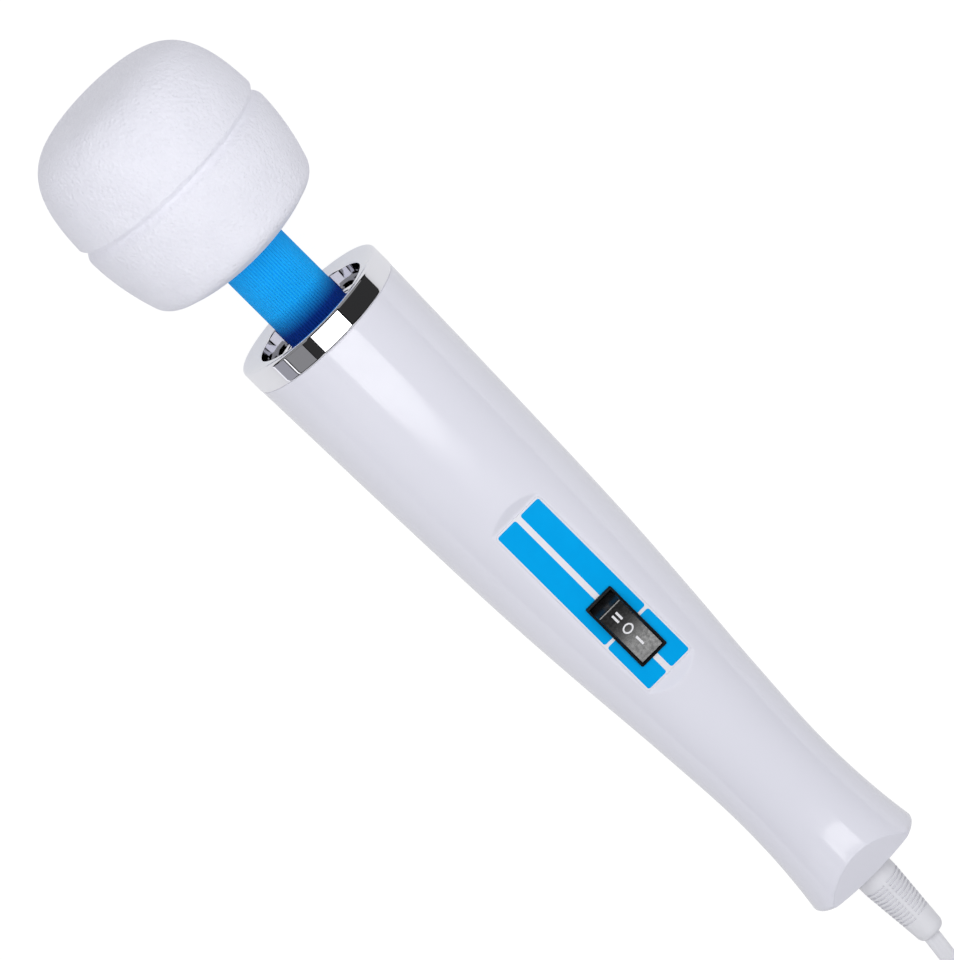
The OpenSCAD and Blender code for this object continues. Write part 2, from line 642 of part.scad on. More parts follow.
// The cord leaves the strain relief, comes down to the surface and runs into the stored coil.
coil_x = -226;
coil_y = -30;
coil_layer = 5;                  // height of one layer of turns, laid on edge
coil_layers = 2;
coil_mid_r = 28;
coil_band = 15.6;                // width of the band of turns, from inside to outside
route_in = [
    [-115, 0, 19.5], [-125, 0, 19], [-135, 0, 18.5], [-145, 0, 18], [-155, 0, 17.4],
    [-164, 0.3, 16.9], [-170, 0.8, 16], [-176, 1.3, 14.2], [-183, 1.9, 11.4], [-190, 2.5, 8.3],
    [-197, 3.1, 5.7], [-204, 3.6, 3.8], [-211, 4, 2.8], [-218, 4.3, 2.5], [-226, 4.4, 2.5]
];
route_out = [
    [-226, -64.4, 7.5], [-218, -64.4, 7.3], [-211, -64, 6.3], [-204, -63.2, 4.8], [-197, -62, 3.7],
    [-190, -60.7, 4.3], [-184, -60, 5.8], [-178, -60, 6.5]
];

// The lead lies flat up to point i0 of its route, and is turned on edge by point i1.
function roll(i, i0, i1) = 90 * max(0, min(1, (i - i0) / (i1 - i0)));
module run_of_cord(points, i0, i1) {
    places = [0:0.5:len(points) - 1];
    path = [for (i = places) wire_point(points, i)];
    sweep(path, [for (i = places) let (a = roll(i, i0, i1)) [0, sin(a), cos(a)]], cord_w / 2, cord_t / 2, 10);
}
module cord() color(white) {
    run_of_cord(route_in, 6, 12);
    run_of_cord(route_out, 6, 1);
}

module cord_coil() color(white) translate([coil_x, coil_y, 0]) rotate_extrude($fn = 64)
    translate([coil_mid_r - coil_band / 2, 0]) square([coil_band, coil_layer * coil_layers]);

module cord_tie() color(black) translate([coil_x - coil_mid_r, coil_y, coil_layer]) difference() {
    translate([-coil_band / 2 - 1.4, -3, -coil_layer]) cube([coil_band + 2.8, 6, 2 * coil_layer + 1.4]);
    translate([-coil_band / 2 - 0.5, -4, -coil_layer - 1]) cube([coil_band + 1, 8, 2 * coil_layer + 1.5]);
}

plug_x = -180;
plug_y = -60;
plug_len = 24;
plug_w = 22;
plug_h = 13;
blade_len = 16;                  // how far the blades stand out of the plug
blade_root = 6;                  // how far they reach into it
blade_pitch = 12.7;
blade_w = 6.4;
blade_t = 1.5;
module plug() color(white) translate([plug_x, plug_y, plug_h / 2]) difference() {
    rotate([90, 0, 90]) linear_extrude(plug_len) rounded(plug_w, plug_h, 3);
    for (s = [-1, 1])
        translate([plug_len - blade_root, s * blade_pitch / 2 - blade_t / 2 - gap, -blade_w / 2 - gap])
            cube([big, blade_t + 2 * gap, blade_w + 2 * gap]);
}

module plug_blades() color(brass) translate([plug_x, plug_y, plug_h / 2]) for (s = [-1, 1])
    translate([plug_len - blade_root + gap, s * blade_pitch / 2 - blade_t / 2, -blade_w / 2])
        cube([blade_root - gap + blade_len, blade_t, blade_w]);

front_shell();
rear_shell();
shell_screws();
collar_ring();
label_plate();
switch_housing();
switch_terminals();
rocker();
rocker_plunger();
contact_arm();
neck_mount();
neck_sleeve();
neck_spring();
drive_spring();
motor_can();
motor_front_cap();
motor_rear_cap();
motor_magnets();
motor_brushes();
motor_bearing_front();
motor_bearing_rear();
motor_ring_front();
motor_ring_rear();
motor_shaft();
rotor_core();
rotor_windings();
commutator();
drive_hub();
head_cushion();
head_core_front();
head_core_rear();
core_screws();
head_bearing_front();
head_bearing_rear();
eccentric_shaft();
eccentric_weight();
driven_hub();
circuit_board();
board_parts();
lead_wires();
cord_clamp();
clamp_screws();
strain_relief();
cord();
cord_coil();
cord_tie();
plug();
plug_blades();
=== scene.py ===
"""The looks of a handheld wand massager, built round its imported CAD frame.

Lengths are millimetres where nothing says metres, and each piece is drawn in one of these frames:
WAND    X along the wand from the rim of its tail, Y across, Z out of the side with the switch
SWITCH  the same, but X follows the flat that the label lies on, from the middle of the switch
ROW     the frame that the object is handed over in, with the surface it lies on at Z = 0
"""

import json
import math

import bmesh
import bpy
import numpy as np
from mathutils import Matrix, Vector


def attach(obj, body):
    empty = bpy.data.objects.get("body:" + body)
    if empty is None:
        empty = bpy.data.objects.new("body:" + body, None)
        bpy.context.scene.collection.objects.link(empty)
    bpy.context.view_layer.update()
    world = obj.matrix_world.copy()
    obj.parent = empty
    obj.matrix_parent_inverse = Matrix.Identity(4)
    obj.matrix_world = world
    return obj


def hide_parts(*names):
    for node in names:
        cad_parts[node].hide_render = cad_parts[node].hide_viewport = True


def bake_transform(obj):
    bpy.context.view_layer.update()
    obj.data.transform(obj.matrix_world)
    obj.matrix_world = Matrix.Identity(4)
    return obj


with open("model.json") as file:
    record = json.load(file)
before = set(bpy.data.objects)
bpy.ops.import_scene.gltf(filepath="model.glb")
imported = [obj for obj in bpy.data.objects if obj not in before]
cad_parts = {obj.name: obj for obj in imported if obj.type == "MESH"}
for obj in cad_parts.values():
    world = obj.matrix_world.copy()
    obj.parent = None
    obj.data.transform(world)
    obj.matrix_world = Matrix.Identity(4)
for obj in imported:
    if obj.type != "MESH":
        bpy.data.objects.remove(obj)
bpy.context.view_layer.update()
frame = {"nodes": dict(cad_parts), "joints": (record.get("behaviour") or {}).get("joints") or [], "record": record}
joints = {j["name"]: j for j in frame["joints"]}

# ---- Sizes shared by several pieces ----
MM = 0.001
TAIL_D, WAIST_D, HANDLE_D = 36.6, 32.0, 48.4
HANDLE_LEN, COLLAR_LEN, NECK_LEN, HEAD_LEN = 211.0, 7.0, 23.0, 59.2
WAIST_X = 32.0
WALL = 3.0
SLEEVE_R = 10.1
COLLAR_BORE_R = 18.2
HEAD_R = 32.0
CORD_W, CORD_T = 4.8, 2.6
RELIEF_LEN = 27.0
SWITCH_X = 98.9
SWITCH_BODY_L, SWITCH_BODY_W = 22.1, 8.8
LABEL_X0, LABEL_LEN, LABEL_W = 81.2, 61.0, 16.4
LABEL_X1 = LABEL_X0 + LABEL_LEN
COLLAR_X = HANDLE_LEN + COLLAR_LEN
HEAD_X = COLLAR_X + NECK_LEN
TIP_X = HEAD_X + HEAD_LEN

# ---- Frames ----
ROTOR_X = 168.0  # where the rotor's joint lies along the wand
along = Vector(joints["rotor_spin"]["axis"]).normalized()
up = Vector(joints["neck_yaw"]["axis"]).normalized()
across = up.cross(along)
rim_centre = Vector(joints["rotor_spin"]["pos_m"]) - along * ROTOR_X * MM
axes = Matrix((along, across, up)).transposed().to_4x4()
ROW = Matrix.Scale(MM, 4)
WAND = Matrix.Translation(rim_centre) @ axes @ ROW


def wand_point(x, y=0.0, z=0.0):
    """A point of the WAND frame, in metres in the row frame."""
    return WAND @ Vector((x, y, z))


# ---- Curves ----
def smooth_curve(stations, x):
    """A smooth curve through stations (x, y) that is flat at the first of them."""
    xs, ys = (np.array(c, float) for c in zip(*stations))
    rates = np.zeros(len(xs))
    rates[1:-1] = (ys[2:] - ys[:-2]) / (xs[2:] - xs[:-2])
    rates[-1] = (ys[-1] - ys[-2]) / (xs[-1] - xs[-2])
    i = np.clip(np.searchsorted(xs, x) - 1, 0, len(xs) - 2)
    h = xs[i + 1] - xs[i]
    t = (x - xs[i]) / h
    return (
        (2 * t**3 - 3 * t**2 + 1) * ys[i]
        + (t**3 - 2 * t**2 + t) * h * rates[i]
        + (3 * t**2 - 2 * t**3) * ys[i + 1]
        + (t**3 - t**2) * h * rates[i + 1]
    )


SWELL = [(WAIST_X, 0), (62, 0.18), (90, 0.44), (117, 0.65), (150, 0.8), (HANDLE_LEN, 1)]


def handle_radius(x):
    """Radius of the handle: a flare below the waist and a long swell above it."""
    x = np.asarray(x, float)
    flare = (TAIL_D - WAIST_D) / 2 * (np.clip(WAIST_X - x, 0, None) / WAIST_X) ** 2.1
    swell = smooth_curve(SWELL, np.maximum(x, WAIST_X)) * (HANDLE_D - WAIST_D) / 2
    return WAIST_D / 2 + flare + swell


def arc(centre, radius, start, end, n=8):
    """Points of a circular arc, with angles in degrees from the first axis."""
    return [
        (centre[0] + radius * math.cos(a), centre[1] + radius * math.sin(a))
        for a in np.radians(np.linspace(start, end, n + 1))
    ]


def soft_min(a, b, width):
    """The lower of a and b, rounded where they meet."""
    h = np.clip(width - np.abs(a - b), 0, None) / width
    return np.minimum(a, b) - h * h * width / 4


def smooth_step(x, low, high):
    """0 below low, 1 above high, and smooth between."""
    t = np.clip((np.asarray(x, float) - low) / (high - low), 0, 1)
    return t * t * (3 - 2 * t)


def through(points, per_span):
    """A smooth line through the points, with per_span steps from each one to the next."""
    p = np.array(points, float)
    line = []
    for i in range(len(p) - 1):
        a, b, c, d = p[max(i - 1, 0)], p[i], p[i + 1], p[min(i + 2, len(p) - 1)]
        for t in np.arange(per_span) / per_span:
            line.append(
                b
                + (c - a) * t / 2
                + (2 * a - 5 * b + 4 * c - d) * t**2 / 2
                + (3 * b - a - 3 * c + d) * t**3 / 2
            )
    return np.array(line + [p[-1]])


# ---- Mesh building ----
def strip(rows, cols, closed=True, first=0):
    """Faces of a grid of vertices stored row by row. closed joins each row's end to its start."""
    wide = cols if closed else cols - 1
    faces = []
    for i in range(rows - 1):
        for j in range(wide):
            a, b = first + i * cols + j, first + i * cols + (j + 1) % cols
            faces.append((a, b, b + cols, a + cols))
    return faces


def turned(profile, n=192, closed=False):
    """A profile of points (x, radius) turned round the X axis. closed joins its end to its start."""
    rows = list(profile) + ([profile[0]] if closed else [])
    a = np.linspace(0, 2 * math.pi, n, endpoint=False)
    verts = [np.column_stack([np.full(n, x), r * np.sin(a), r * np.cos(a)]) for x, r in rows]
    return np.vstack(verts), strip(len(rows), n)


def lofted(loops, caps=True):
    """A skin over loops of points that have the same number of points each."""
    n = len(loops[0])
    faces = strip(len(loops), n)
    if caps:
        last = (len(loops) - 1) * n
        faces += [tuple(range(n)), tuple(range(last, last + n))]
    return np.vstack([np.array(loop, float) for loop in loops]), faces


def joined(*parts):
    """Several (vertices, faces) as one."""
    verts, faces, first = [], [], 0
    for v, f in parts:
        verts.append(np.array(v, float))
        faces += [tuple(i + first for i in face) for face in f]
        first += len(v)
    return np.vstack(verts), faces


def moved(shape, matrix):
    """(vertices, faces) moved by a matrix."""
    verts = np.column_stack([shape[0], np.ones(len(shape[0]))]) @ np.array(matrix).T
    return verts[:, :3], shape[1]


def rounded_loop(length, width, radius, z=0.0, n=6):
    """A rounded rectangle about the origin, level at z."""
    x, y = length / 2 - radius, width / 2 - radius
    corners = [((x, y), 0), ((-x, y), 90), ((-x, -y), 180), ((x, -y), 270)]
    return [(*p, z) for c, a in corners for p in arc(c, radius, a, a + 90, n)]


def edge_steps(radius, degrees):
    """How far in and how far up a rounded edge of that radius has come at each angle."""
    return [(radius * (1 - math.cos(a)), radius * math.sin(a)) for a in np.radians(degrees)]


def slab(length, width, radius, low, high, edge=0.1):
    """A rounded rectangular plate with softened upper edges."""
    loops = [rounded_loop(length, width, radius, low), rounded_loop(length, width, radius, high - edge)]
    for inset, rise in edge_steps(edge, (30, 60, 90)):
        z = high - edge + rise
        loops.append(rounded_loop(length - 2 * inset, width - 2 * inset, radius - inset, z))
    return lofted(loops)


def make_object(name, shape, matrix=WAND):
    """A mesh object of (vertices, faces), with doubled points merged and its faces outwards."""
    verts, faces = moved(shape, matrix)
    mesh = bpy.data.meshes.new(name)
    mesh.from_pydata(verts.tolist(), [], faces)
    bm = bmesh.new()
    bm.from_mesh(mesh)
    bmesh.ops.remove_doubles(bm, verts=bm.verts, dist=2e-6)
    bmesh.ops.recalc_face_normals(bm, faces=bm.faces)
    bm.to_mesh(mesh)
    bm.free()
    made = bpy.data.objects.new(name, mesh)
    bpy.context.scene.collection.objects.link(made)
    return made


def cut(target, operation, shape, matrix=WAND):
    """Changes target's mesh by a solid, with operation DIFFERENCE or UNION."""
    tool = make_object("tool", shape, matrix)
    step = target.modifiers.new("cut", "BOOLEAN")
    step.operation, step.object, step.solver = operation, tool, "EXACT"
    graph = bpy.context.evaluated_depsgraph_get()
    result = bpy.data.meshes.new_from_object(target.evaluated_get(graph))
    target.modifiers.clear()
    target.data = result
    bpy.data.objects.remove(tool)


def finish_piece(piece, look, body=None, stands_for=(), sharp=30):
    """Gives a piece its material, shading and body, and hides the CAD nodes that it stands for."""
    piece.data.materials.clear()
    piece.data.materials.append(look)
    piece.data.shade_smooth()
    piece.data.set_sharp_from_angle(angle=math.radians(sharp))
    if body:
        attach(piece, body)
    if stands_for:
        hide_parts(*stands_for)
    return piece


def rod(x0, x1, radius, n=48):
    """A plain bar along X, for cutting."""
    return turned([(x0, 0), (x0, radius), (x1, radius), (x1, 0)], n)


def upright(x, y, z0, z1, radius, n=48):
    """A plain bar along Z, for cutting."""
    place = Matrix.Translation((x, y, 0)) @ Matrix.Rotation(math.radians(-90), 4, "Y")
    return moved(rod(z0, z1, radius, n), place)


# ---- Materials ----
class Look:
    """A procedural material. Sizes of its patterns are in millimetres of the piece's own space."""

    def __init__(self, name, colour, roughness, **sockets):
        self.material = bpy.data.materials.new(name)
        self.material.use_nodes = True
        self.tree = self.material.node_tree
        self.shader = self.tree.nodes["Principled BSDF"]
        self.shader.inputs["Base Color"].default_value = (*colour, 1)
        self.shader.inputs["Roughness"].default_value = roughness
        for socket, value in sockets.items():
            self.shader.inputs[socket.replace("_", " ")].default_value = value
        self.colour, self.roughness = colour, roughness
        self.space = self.tree.nodes.new("ShaderNodeTexCoord").outputs["Object"]
        self.heights = []

    def node(self, kind, **inputs):
        """A node of that kind, with each input set to a value or linked to a socket."""
        made = self.tree.nodes.new(kind)
        for name, value in inputs.items():
            socket = made.inputs[name.replace("_", " ")]
            if isinstance(value, bpy.types.NodeSocket):
                self.tree.links.new(value, socket)
            else:
                socket.default_value = value
        return made

    def noise(self, size, detail=3.0, stretch=None):
        """Noise with features of about that size. stretch draws it out along the row's axes."""
        space = self.space
        if stretch:
            space = self.node("ShaderNodeMapping", Vector=space, Scale=stretch).outputs["Vector"]
        made = self.node("ShaderNodeTexNoise", Vector=space, Scale=1 / (size * MM), Detail=detail)
        return made.outputs["Fac"]

    def cells(self, size, feature="F1"):
        """Distances within cells of about that size."""
        made = self.node("ShaderNodeTexVoronoi", Vector=self.space, Scale=1 / (size * MM))
        made.feature = feature
        return made.outputs["Distance"]

    def between(self, fac, low, high, to_low, to_high):
        """fac carried over from the range low to high into the range to_low to to_high."""
        made = self.node("ShaderNodeMapRange", Value=fac)
        for name, value in zip(("From Min", "From Max", "To Min", "To Max"), (low, high, to_low, to_high)):
            made.inputs[name].default_value = value
        return made.outputs["Result"]

    def mottled(self, other, size, detail=3.0):
        """The colour drifts towards other."""
        mix = self.tree.nodes.new("ShaderNodeMix")
        mix.data_type = "RGBA"
        self.tree.links.new(self.between(self.noise(size, detail), 0.35, 0.65, 0, 1), mix.inputs[0])
        mix.inputs["A"].default_value = (*self.colour, 1)
        mix.inputs["B"].default_value = (*other, 1)
        self.tree.links.new(mix.outputs["Result"], self.shader.inputs["Base Color"])
        return self

    def painted_shade_along_x(self, other, start, end):
        """Painted shade: the colour passes over to other between two places along the row's X axis, in metres."""
        split = self.node("ShaderNodeSeparateXYZ", Vector=self.space)
        mix = self.tree.nodes.new("ShaderNodeMix")
        mix.data_type = "RGBA"
        self.tree.links.new(self.between(split.outputs["X"], start, end, 0, 1), mix.inputs[0])
        self.tree.links.new(self.shader.inputs["Base Color"].links[0].from_socket, mix.inputs["A"])
        mix.inputs["B"].default_value = (*other, 1)
        self.tree.links.new(mix.outputs["Result"], self.shader.inputs["Base Color"])
        return self

    def worn(self, rougher, size, detail=4.0, stretch=None):
        """The roughness drifts up to rougher."""
        value = self.between(self.noise(size, detail, stretch), 0.35, 0.7, self.roughness, rougher)
        self.tree.links.new(value, self.shader.inputs["Roughness"])
        return self

    def raised(self, height, depth):
        """Adds a bump of that depth in millimetres, under any that come later."""
        made = self.node("ShaderNodeBump", Height=height, Distance=depth * MM, Strength=1.0)
        if self.heights:
            self.tree.links.new(self.heights[-1], made.inputs["Normal"])
        self.heights.append(made.outputs["Normal"])
        self.tree.links.new(made.outputs["Normal"], self.shader.inputs["Normal"])
        return self


def make_looks():
    """The materials by their slot in the record, with a few more for printed parts."""
    made = {}

    def add(name, colour, roughness, **sockets):
        made[name] = Look(name, colour, roughness, **sockets)
        return made[name]

    handle = add("handle_white", (0.795, 0.795, 0.865), 0.09, Coat_Weight=0.3, Coat_Roughness=0.04)
    handle.mottled((0.785, 0.785, 0.856), 38).worn(0.15, 5)
    handle.raised(handle.noise(2.6, 2), 0.004)

    cushion = add("cushion_white", (0.87, 0.87, 0.94), 0.62, Sheen_Weight=0.1, Specular_IOR_Level=0.35)
    cushion.mottled((0.845, 0.845, 0.915), 9).worn(0.75, 1.5)
    cushion.raised(cushion.cells(0.95, "SMOOTH_F1"), 0.26)
    cushion.raised(cushion.noise(0.5, 3), 0.14)

    sleeve = add("sleeve_blue", (0.005, 0.41, 0.93), 0.5, Specular_IOR_Level=0.15)
    sleeve.mottled((0.005, 0.395, 0.9), 6).worn(0.6, 1.2)
    # painted shade: the sleeve's blue darkens to deep navy over its last 7 mm before the collar, where the collar
    # shades it
    sleeve.painted_shade_along_x((0.0, 0.035, 0.28), wand_point(224).x, wand_point(217).x)

    chrome = add("chrome", (0.91, 0.91, 0.95), 0.02, Metallic=1.0)
    chrome.mottled((0.89, 0.89, 0.935), 12).worn(0.035, 3, 6)

    label = add("label_blue", (0.0, 0.38, 0.83), 0.4, Specular_IOR_Level=0.03)
    label.mottled((0.0, 0.365, 0.81), 4).worn(0.42, 0.8)
    label.raised(label.noise(0.4, 2), 0.003)
    white = add("label_white", (0.82, 0.82, 0.86), 0.35)
    white.mottled((0.80, 0.80, 0.84), 4).worn(0.45, 0.8)

    switch = add("switch_black", (0.006, 0.006, 0.007), 0.22, Specular_IOR_Level=0.32)
    switch.mottled((0.012, 0.012, 0.013), 2).worn(0.32, 0.9)
    switch.raised(switch.noise(0.5, 2), 0.004)
    print_white = add("print_white", (0.85, 0.85, 0.87), 0.45)
    print_white.mottled((0.80, 0.80, 0.82), 0.6).worn(0.55, 0.5)

    cord = add("cord_white", (0.80, 0.80, 0.83), 0.36)
    cord.mottled((0.765, 0.765, 0.80), 14).worn(0.48, 2.5)
    cord.raised(cord.noise(0.7, 3), 0.012)
    tie = add("tie_black", (0.015, 0.015, 0.016), 0.8, Sheen_Weight=0.3)
    tie.mottled((0.03, 0.03, 0.032), 0.5).raised(tie.cells(0.35), 0.15)

    for name, colour, roughness in (
        ("steel", (0.56, 0.57, 0.59), 0.28),
        ("brass", (0.78, 0.62, 0.30), 0.24),
        ("copper", (0.72, 0.38, 0.20), 0.3),
        ("lamination", (0.35, 0.35, 0.37), 0.42),
    ):
        metal = add(name, colour, roughness, Metallic=1.0)
        metal.mottled(tuple(0.88 * c for c in colour), 3)
        metal.worn(roughness + 0.15, 1.2, 5, (1, 8, 8)).raised(metal.noise(0.3, 4), 0.006)
    for name, colour, roughness in (
        ("magnet", (0.05, 0.05, 0.055), 0.7),
        ("carbon", (0.03, 0.03, 0.03), 0.6),
        ("rubber_black", (0.02, 0.02, 0.02), 0.65),
        ("board_green", (0.03, 0.13, 0.06), 0.3),
        ("part_black", (0.03, 0.03, 0.035), 0.4),
        ("wire_red", (0.55, 0.04, 0.03), 0.4),
        ("core_white", (0.72, 0.72, 0.74), 0.45),
    ):
        plain = add(name, colour, roughness)
        plain.mottled(tuple(0.85 * c for c in colour), 5).worn(roughness + 0.12, 1.5)
        plain.raised(plain.noise(0.8, 3), 0.015)
    return {name: look.material for name, look in made.items()}


looks = make_looks()


# ---- Camera, at the photograph's viewing angle ----
CAMERA_AWAY, FOCAL_LEN = 4.0, 563.0  # metres, and millimetres on a sensor 36 mm wide
CAMERA_LEAN, CAMERA_TURN = math.radians(13.4), math.radians(44.89)
VIEW_CENTRE = (151.9, 0.42)


def add_camera():
    """A long lens that leans towards the wand's head, turned until the wand slants as in the photograph."""
    back = up * math.cos(CAMERA_LEAN) + along * math.sin(CAMERA_LEAN)
    e1 = (along - back * along.dot(back)).normalized()
    e2 = back.cross(e1)
    right = -math.cos(CAMERA_TURN) * e1 - math.sin(CAMERA_TURN) * e2
    upward = math.sin(CAMERA_TURN) * e1 - math.cos(CAMERA_TURN) * e2
    data = bpy.data.cameras.new("camera")
    data.sensor_fit, data.sensor_width, data.lens = "HORIZONTAL", 36.0, FOCAL_LEN
    data.clip_start, data.clip_end = 0.1, 50.0
    camera = bpy.data.objects.new("camera", data)
    place = Matrix((right, upward, back)).transposed().to_4x4()
    place.translation = wand_point(*VIEW_CENTRE) + back * CAMERA_AWAY
    camera.matrix_world = place
    bpy.context.scene.collection.objects.link(camera)
    bpy.context.scene.camera = camera


add_camera()

# ---- Cord: a flat twin lead that rolls on to its edge and is wound into a coil lying flat ----
COIL_CENTRE = (-226.0, -30.0)
COIL_OUT_R, COIL_IN_R = 34.4, 21.6
LAYER_Z = (2.85, 7.8)
ROUTE_IN = [
    (-155, 0, 17.4), (-164, 0.9, 16.9), (-170, 1.6, 16), (-176, 2.2, 14.2), (-183, 2.8, 11.4),
    (-190, 3.3, 8.3), (-197, 3.7, 5.7), (-204, 4.0, 3.8), (-211, 4.2, 2.9), (-218, 4.3, 2.85),
]
ROUTE_OUT = [
    (-218, -64.4, 7.3), (-211, -64, 6.3), (-204, -63.2, 4.8), (-197, -62, 3.7),
    (-190, -60.7, 4.3), (-184, -60, 5.8), (-178, -60, 6.5),
]
ROLL_IN, ROLL_OUT = (166, 214), (184, 214)  # the stretches of -X where the lead rolls on to its edge


def coil_line(step=5.0):
    """The coil's turns: in along the lower layer, up, and out along the upper one."""
    legs = [
        (4.5, COIL_OUT_R, COIL_IN_R, LAYER_Z[0], LAYER_Z[0]),
        (0.25, COIL_IN_R, COIL_IN_R, LAYER_Z[0], LAYER_Z[1]),
        (4.75, COIL_IN_R, COIL_OUT_R, LAYER_Z[1], LAYER_Z[1]),
    ]
    line, angle = [], 90.0
    for turns, r0, r1, z0, z1 in legs:
        n = int(turns * 360 / step)
        for i in range(n):
            t, a = i / n, math.radians(angle + turns * 360 * i / n)
            lifted = z0 + (z1 - z0) * float(smooth_step(t, 0, 1))
            line.append((r0 + (r1 - r0) * t, a, lifted))
        angle += turns * 360
    line.append((COIL_OUT_R, math.radians(angle), LAYER_Z[1]))
    x, y = COIL_CENTRE
    points = np.array([(x + r * math.cos(a), y + r * math.sin(a), z) for r, a, z in line])
    outward = np.array([(math.cos(a), math.sin(a), 0) for _, a, _ in line])
    return points, outward


def twin_section(n=9):
    """Outline of the twin lead: two round ridges with a shallow groove between, as (width, thickness)."""
    lobe_r = CORD_T / 2
    lobe_at = CORD_W / 2 - lobe_r
    right = arc((lobe_at, 0), lobe_r, -112, 112, 2 * n)
    left = arc((-lobe_at, 0), lobe_r, 68, 292, 2 * n)
    waist = lobe_r * 0.74
    return right + [(0, waist)] + left + [(0, -waist)]


def swept(line, ups, section):
    """A tube with that section along a line. ups are the ways that the section's second axis faces."""
    line, ups = np.array(line, float), np.array(ups, float)
    d = np.gradient(line, axis=0)
    d /= np.linalg.norm(d, axis=1)[:, None]
    side = np.cross(d, ups)
    side /= np.linalg.norm(side, axis=1)[:, None]
    top = np.cross(side, d)
    return lofted([p + np.array([a * s + b * t for a, b in section]) for p, s, t in zip(line, side, top)])


def make_cord():
    """The free cord, as a tube from the strain relief's tip to its plug, and the line that it follows."""
    way_in, way_out = through(ROUTE_IN, 3), through(ROUTE_OUT, 3)
    coil, outward = coil_line()
    roll_in = np.radians(90 * smooth_step(-way_in[:, 0], *ROLL_IN))
    roll_out = np.radians(90 * smooth_step(-way_out[:, 0], *ROLL_OUT))
    ups_in = np.column_stack([0 * roll_in, np.sin(roll_in), np.cos(roll_in)])
    ups_out = -np.column_stack([0 * roll_out, np.sin(roll_out), np.cos(roll_out)])
    line = np.vstack([way_in, coil, way_out])
    ups = np.vstack([ups_in, outward, ups_out])
    return swept(line, ups, twin_section()), line


cord_shape, cord_line = make_cord()
cord = make_object("power_cord", cord_shape, ROW)
finish_piece(cord, looks["cord_white"], "root", ("cord", "cord_coil"), sharp=60)

# ---- Plug ----
PLUG_AT = Matrix.Translation((-180 * MM, -60 * MM, 6.5 * MM)) @ ROW
PLUG_LEN, PLUG_W, PLUG_H = 24.0, 22.0, 13.0
PLUG_SHOULDER_X, PLUG_ROUND, PLUG_CORNER = 22.4, 1.5, 3.6
TAIL_RINGS, GRIP_RIBS = 4, 5
BLADE_Y = 6.35


def plug_loop(x, width, height, radius):
    """A rounded rectangle across the plug at x."""
    return [(x, y, z) for y, z, _ in rounded_loop(width, height, radius, n=7)]


def make_plug():
    """A moulded two-blade plug: a waisted body with grip ribs and a ringed tail round its lead."""
    loops = [plug_loop(-9.5, 6.6, 4.6, 2.2)]
    for i in range(TAIL_RINGS):
        x = -9 + i * 2.1
        for dx, grow in ((0, 0.5), (1.1, 0.6), (1.3, -0.35), (1.9, -0.3)):
            loops.append(plug_loop(x + dx, 6.6 + i * 0.7 + grow, 4.6 + i * 0.6 + grow, 2.2))
    loops += [plug_loop(0.0, 11, 8, 3.2), plug_loop(1.6, 14.4, 9.6, 4), plug_loop(4, 17.4, 11.2, 4.6)]
    for i in range(GRIP_RIBS):
        x = 6 + i * 2
        for dx, sunk in ((0, 0), (0.35, 0.55), (0.9, 0.55), (1.25, 0)):
            loops.append(plug_loop(x + dx, 18.6 + i * 0.55 - 2 * sunk, 12 + i * 0.12, 4.4))
    loops += [plug_loop(17.5, 21.6, 12.8, 4), plug_loop(PLUG_SHOULDER_X, PLUG_W, PLUG_H, PLUG_CORNER)]
    for inset, rise in edge_steps(PLUG_ROUND, (30, 60, 90)):
        size = PLUG_W - 2 * inset, PLUG_H - 2 * inset
        loops.append(plug_loop(PLUG_SHOULDER_X + rise, *size, PLUG_CORNER - inset))
    loops.append(plug_loop(PLUG_LEN, PLUG_W - 5, PLUG_H - 5, 2))
    return lofted(loops)


def blade():
    """One contact blade, with a rounded tip and softened edges, before its hole is cut."""
    half_w, half_t, x0, x1 = 3.2, 0.75, 18.0, 40.0
    outline = [(x0, -half_w), (x1 - 1.6, -half_w)] + arc((x1 - 1.6, -half_w + 1.6), 1.6, -80, 0, 5)
    outline += arc((x1 - 1.6, half_w - 1.6), 1.6, 0, 80, 5) + [(x1 - 1.6, half_w), (x0, half_w)]
    loops = []
    for inset, y in ((0.2, -half_t), (0, -half_t + 0.2), (0, half_t - 0.2), (0.2, half_t)):
        k = 1 - inset / half_w
        loops.append([(x - inset * (x > x1 - 3), y, z * k) for x, z in outline])
    return lofted(loops)


plug = make_object("mains_plug", make_plug(), PLUG_AT)
finish_piece(plug, looks["cord_white"], "root", ("plug",), sharp=40)
sides = [moved(blade(), Matrix.Translation((0, y, 0))) for y in (-BLADE_Y, BLADE_Y)]
blades = make_object("plug_contacts", joined(*sides), PLUG_AT)
hole = moved(upright(35, 0, -20, 20, 1.6, 32), Matrix.Rotation(math.radians(90), 4, "X"))
cut(blades, "DIFFERENCE", hole, PLUG_AT)
finish_piece(blades, looks["brass"], "root", ("plug_blades",))


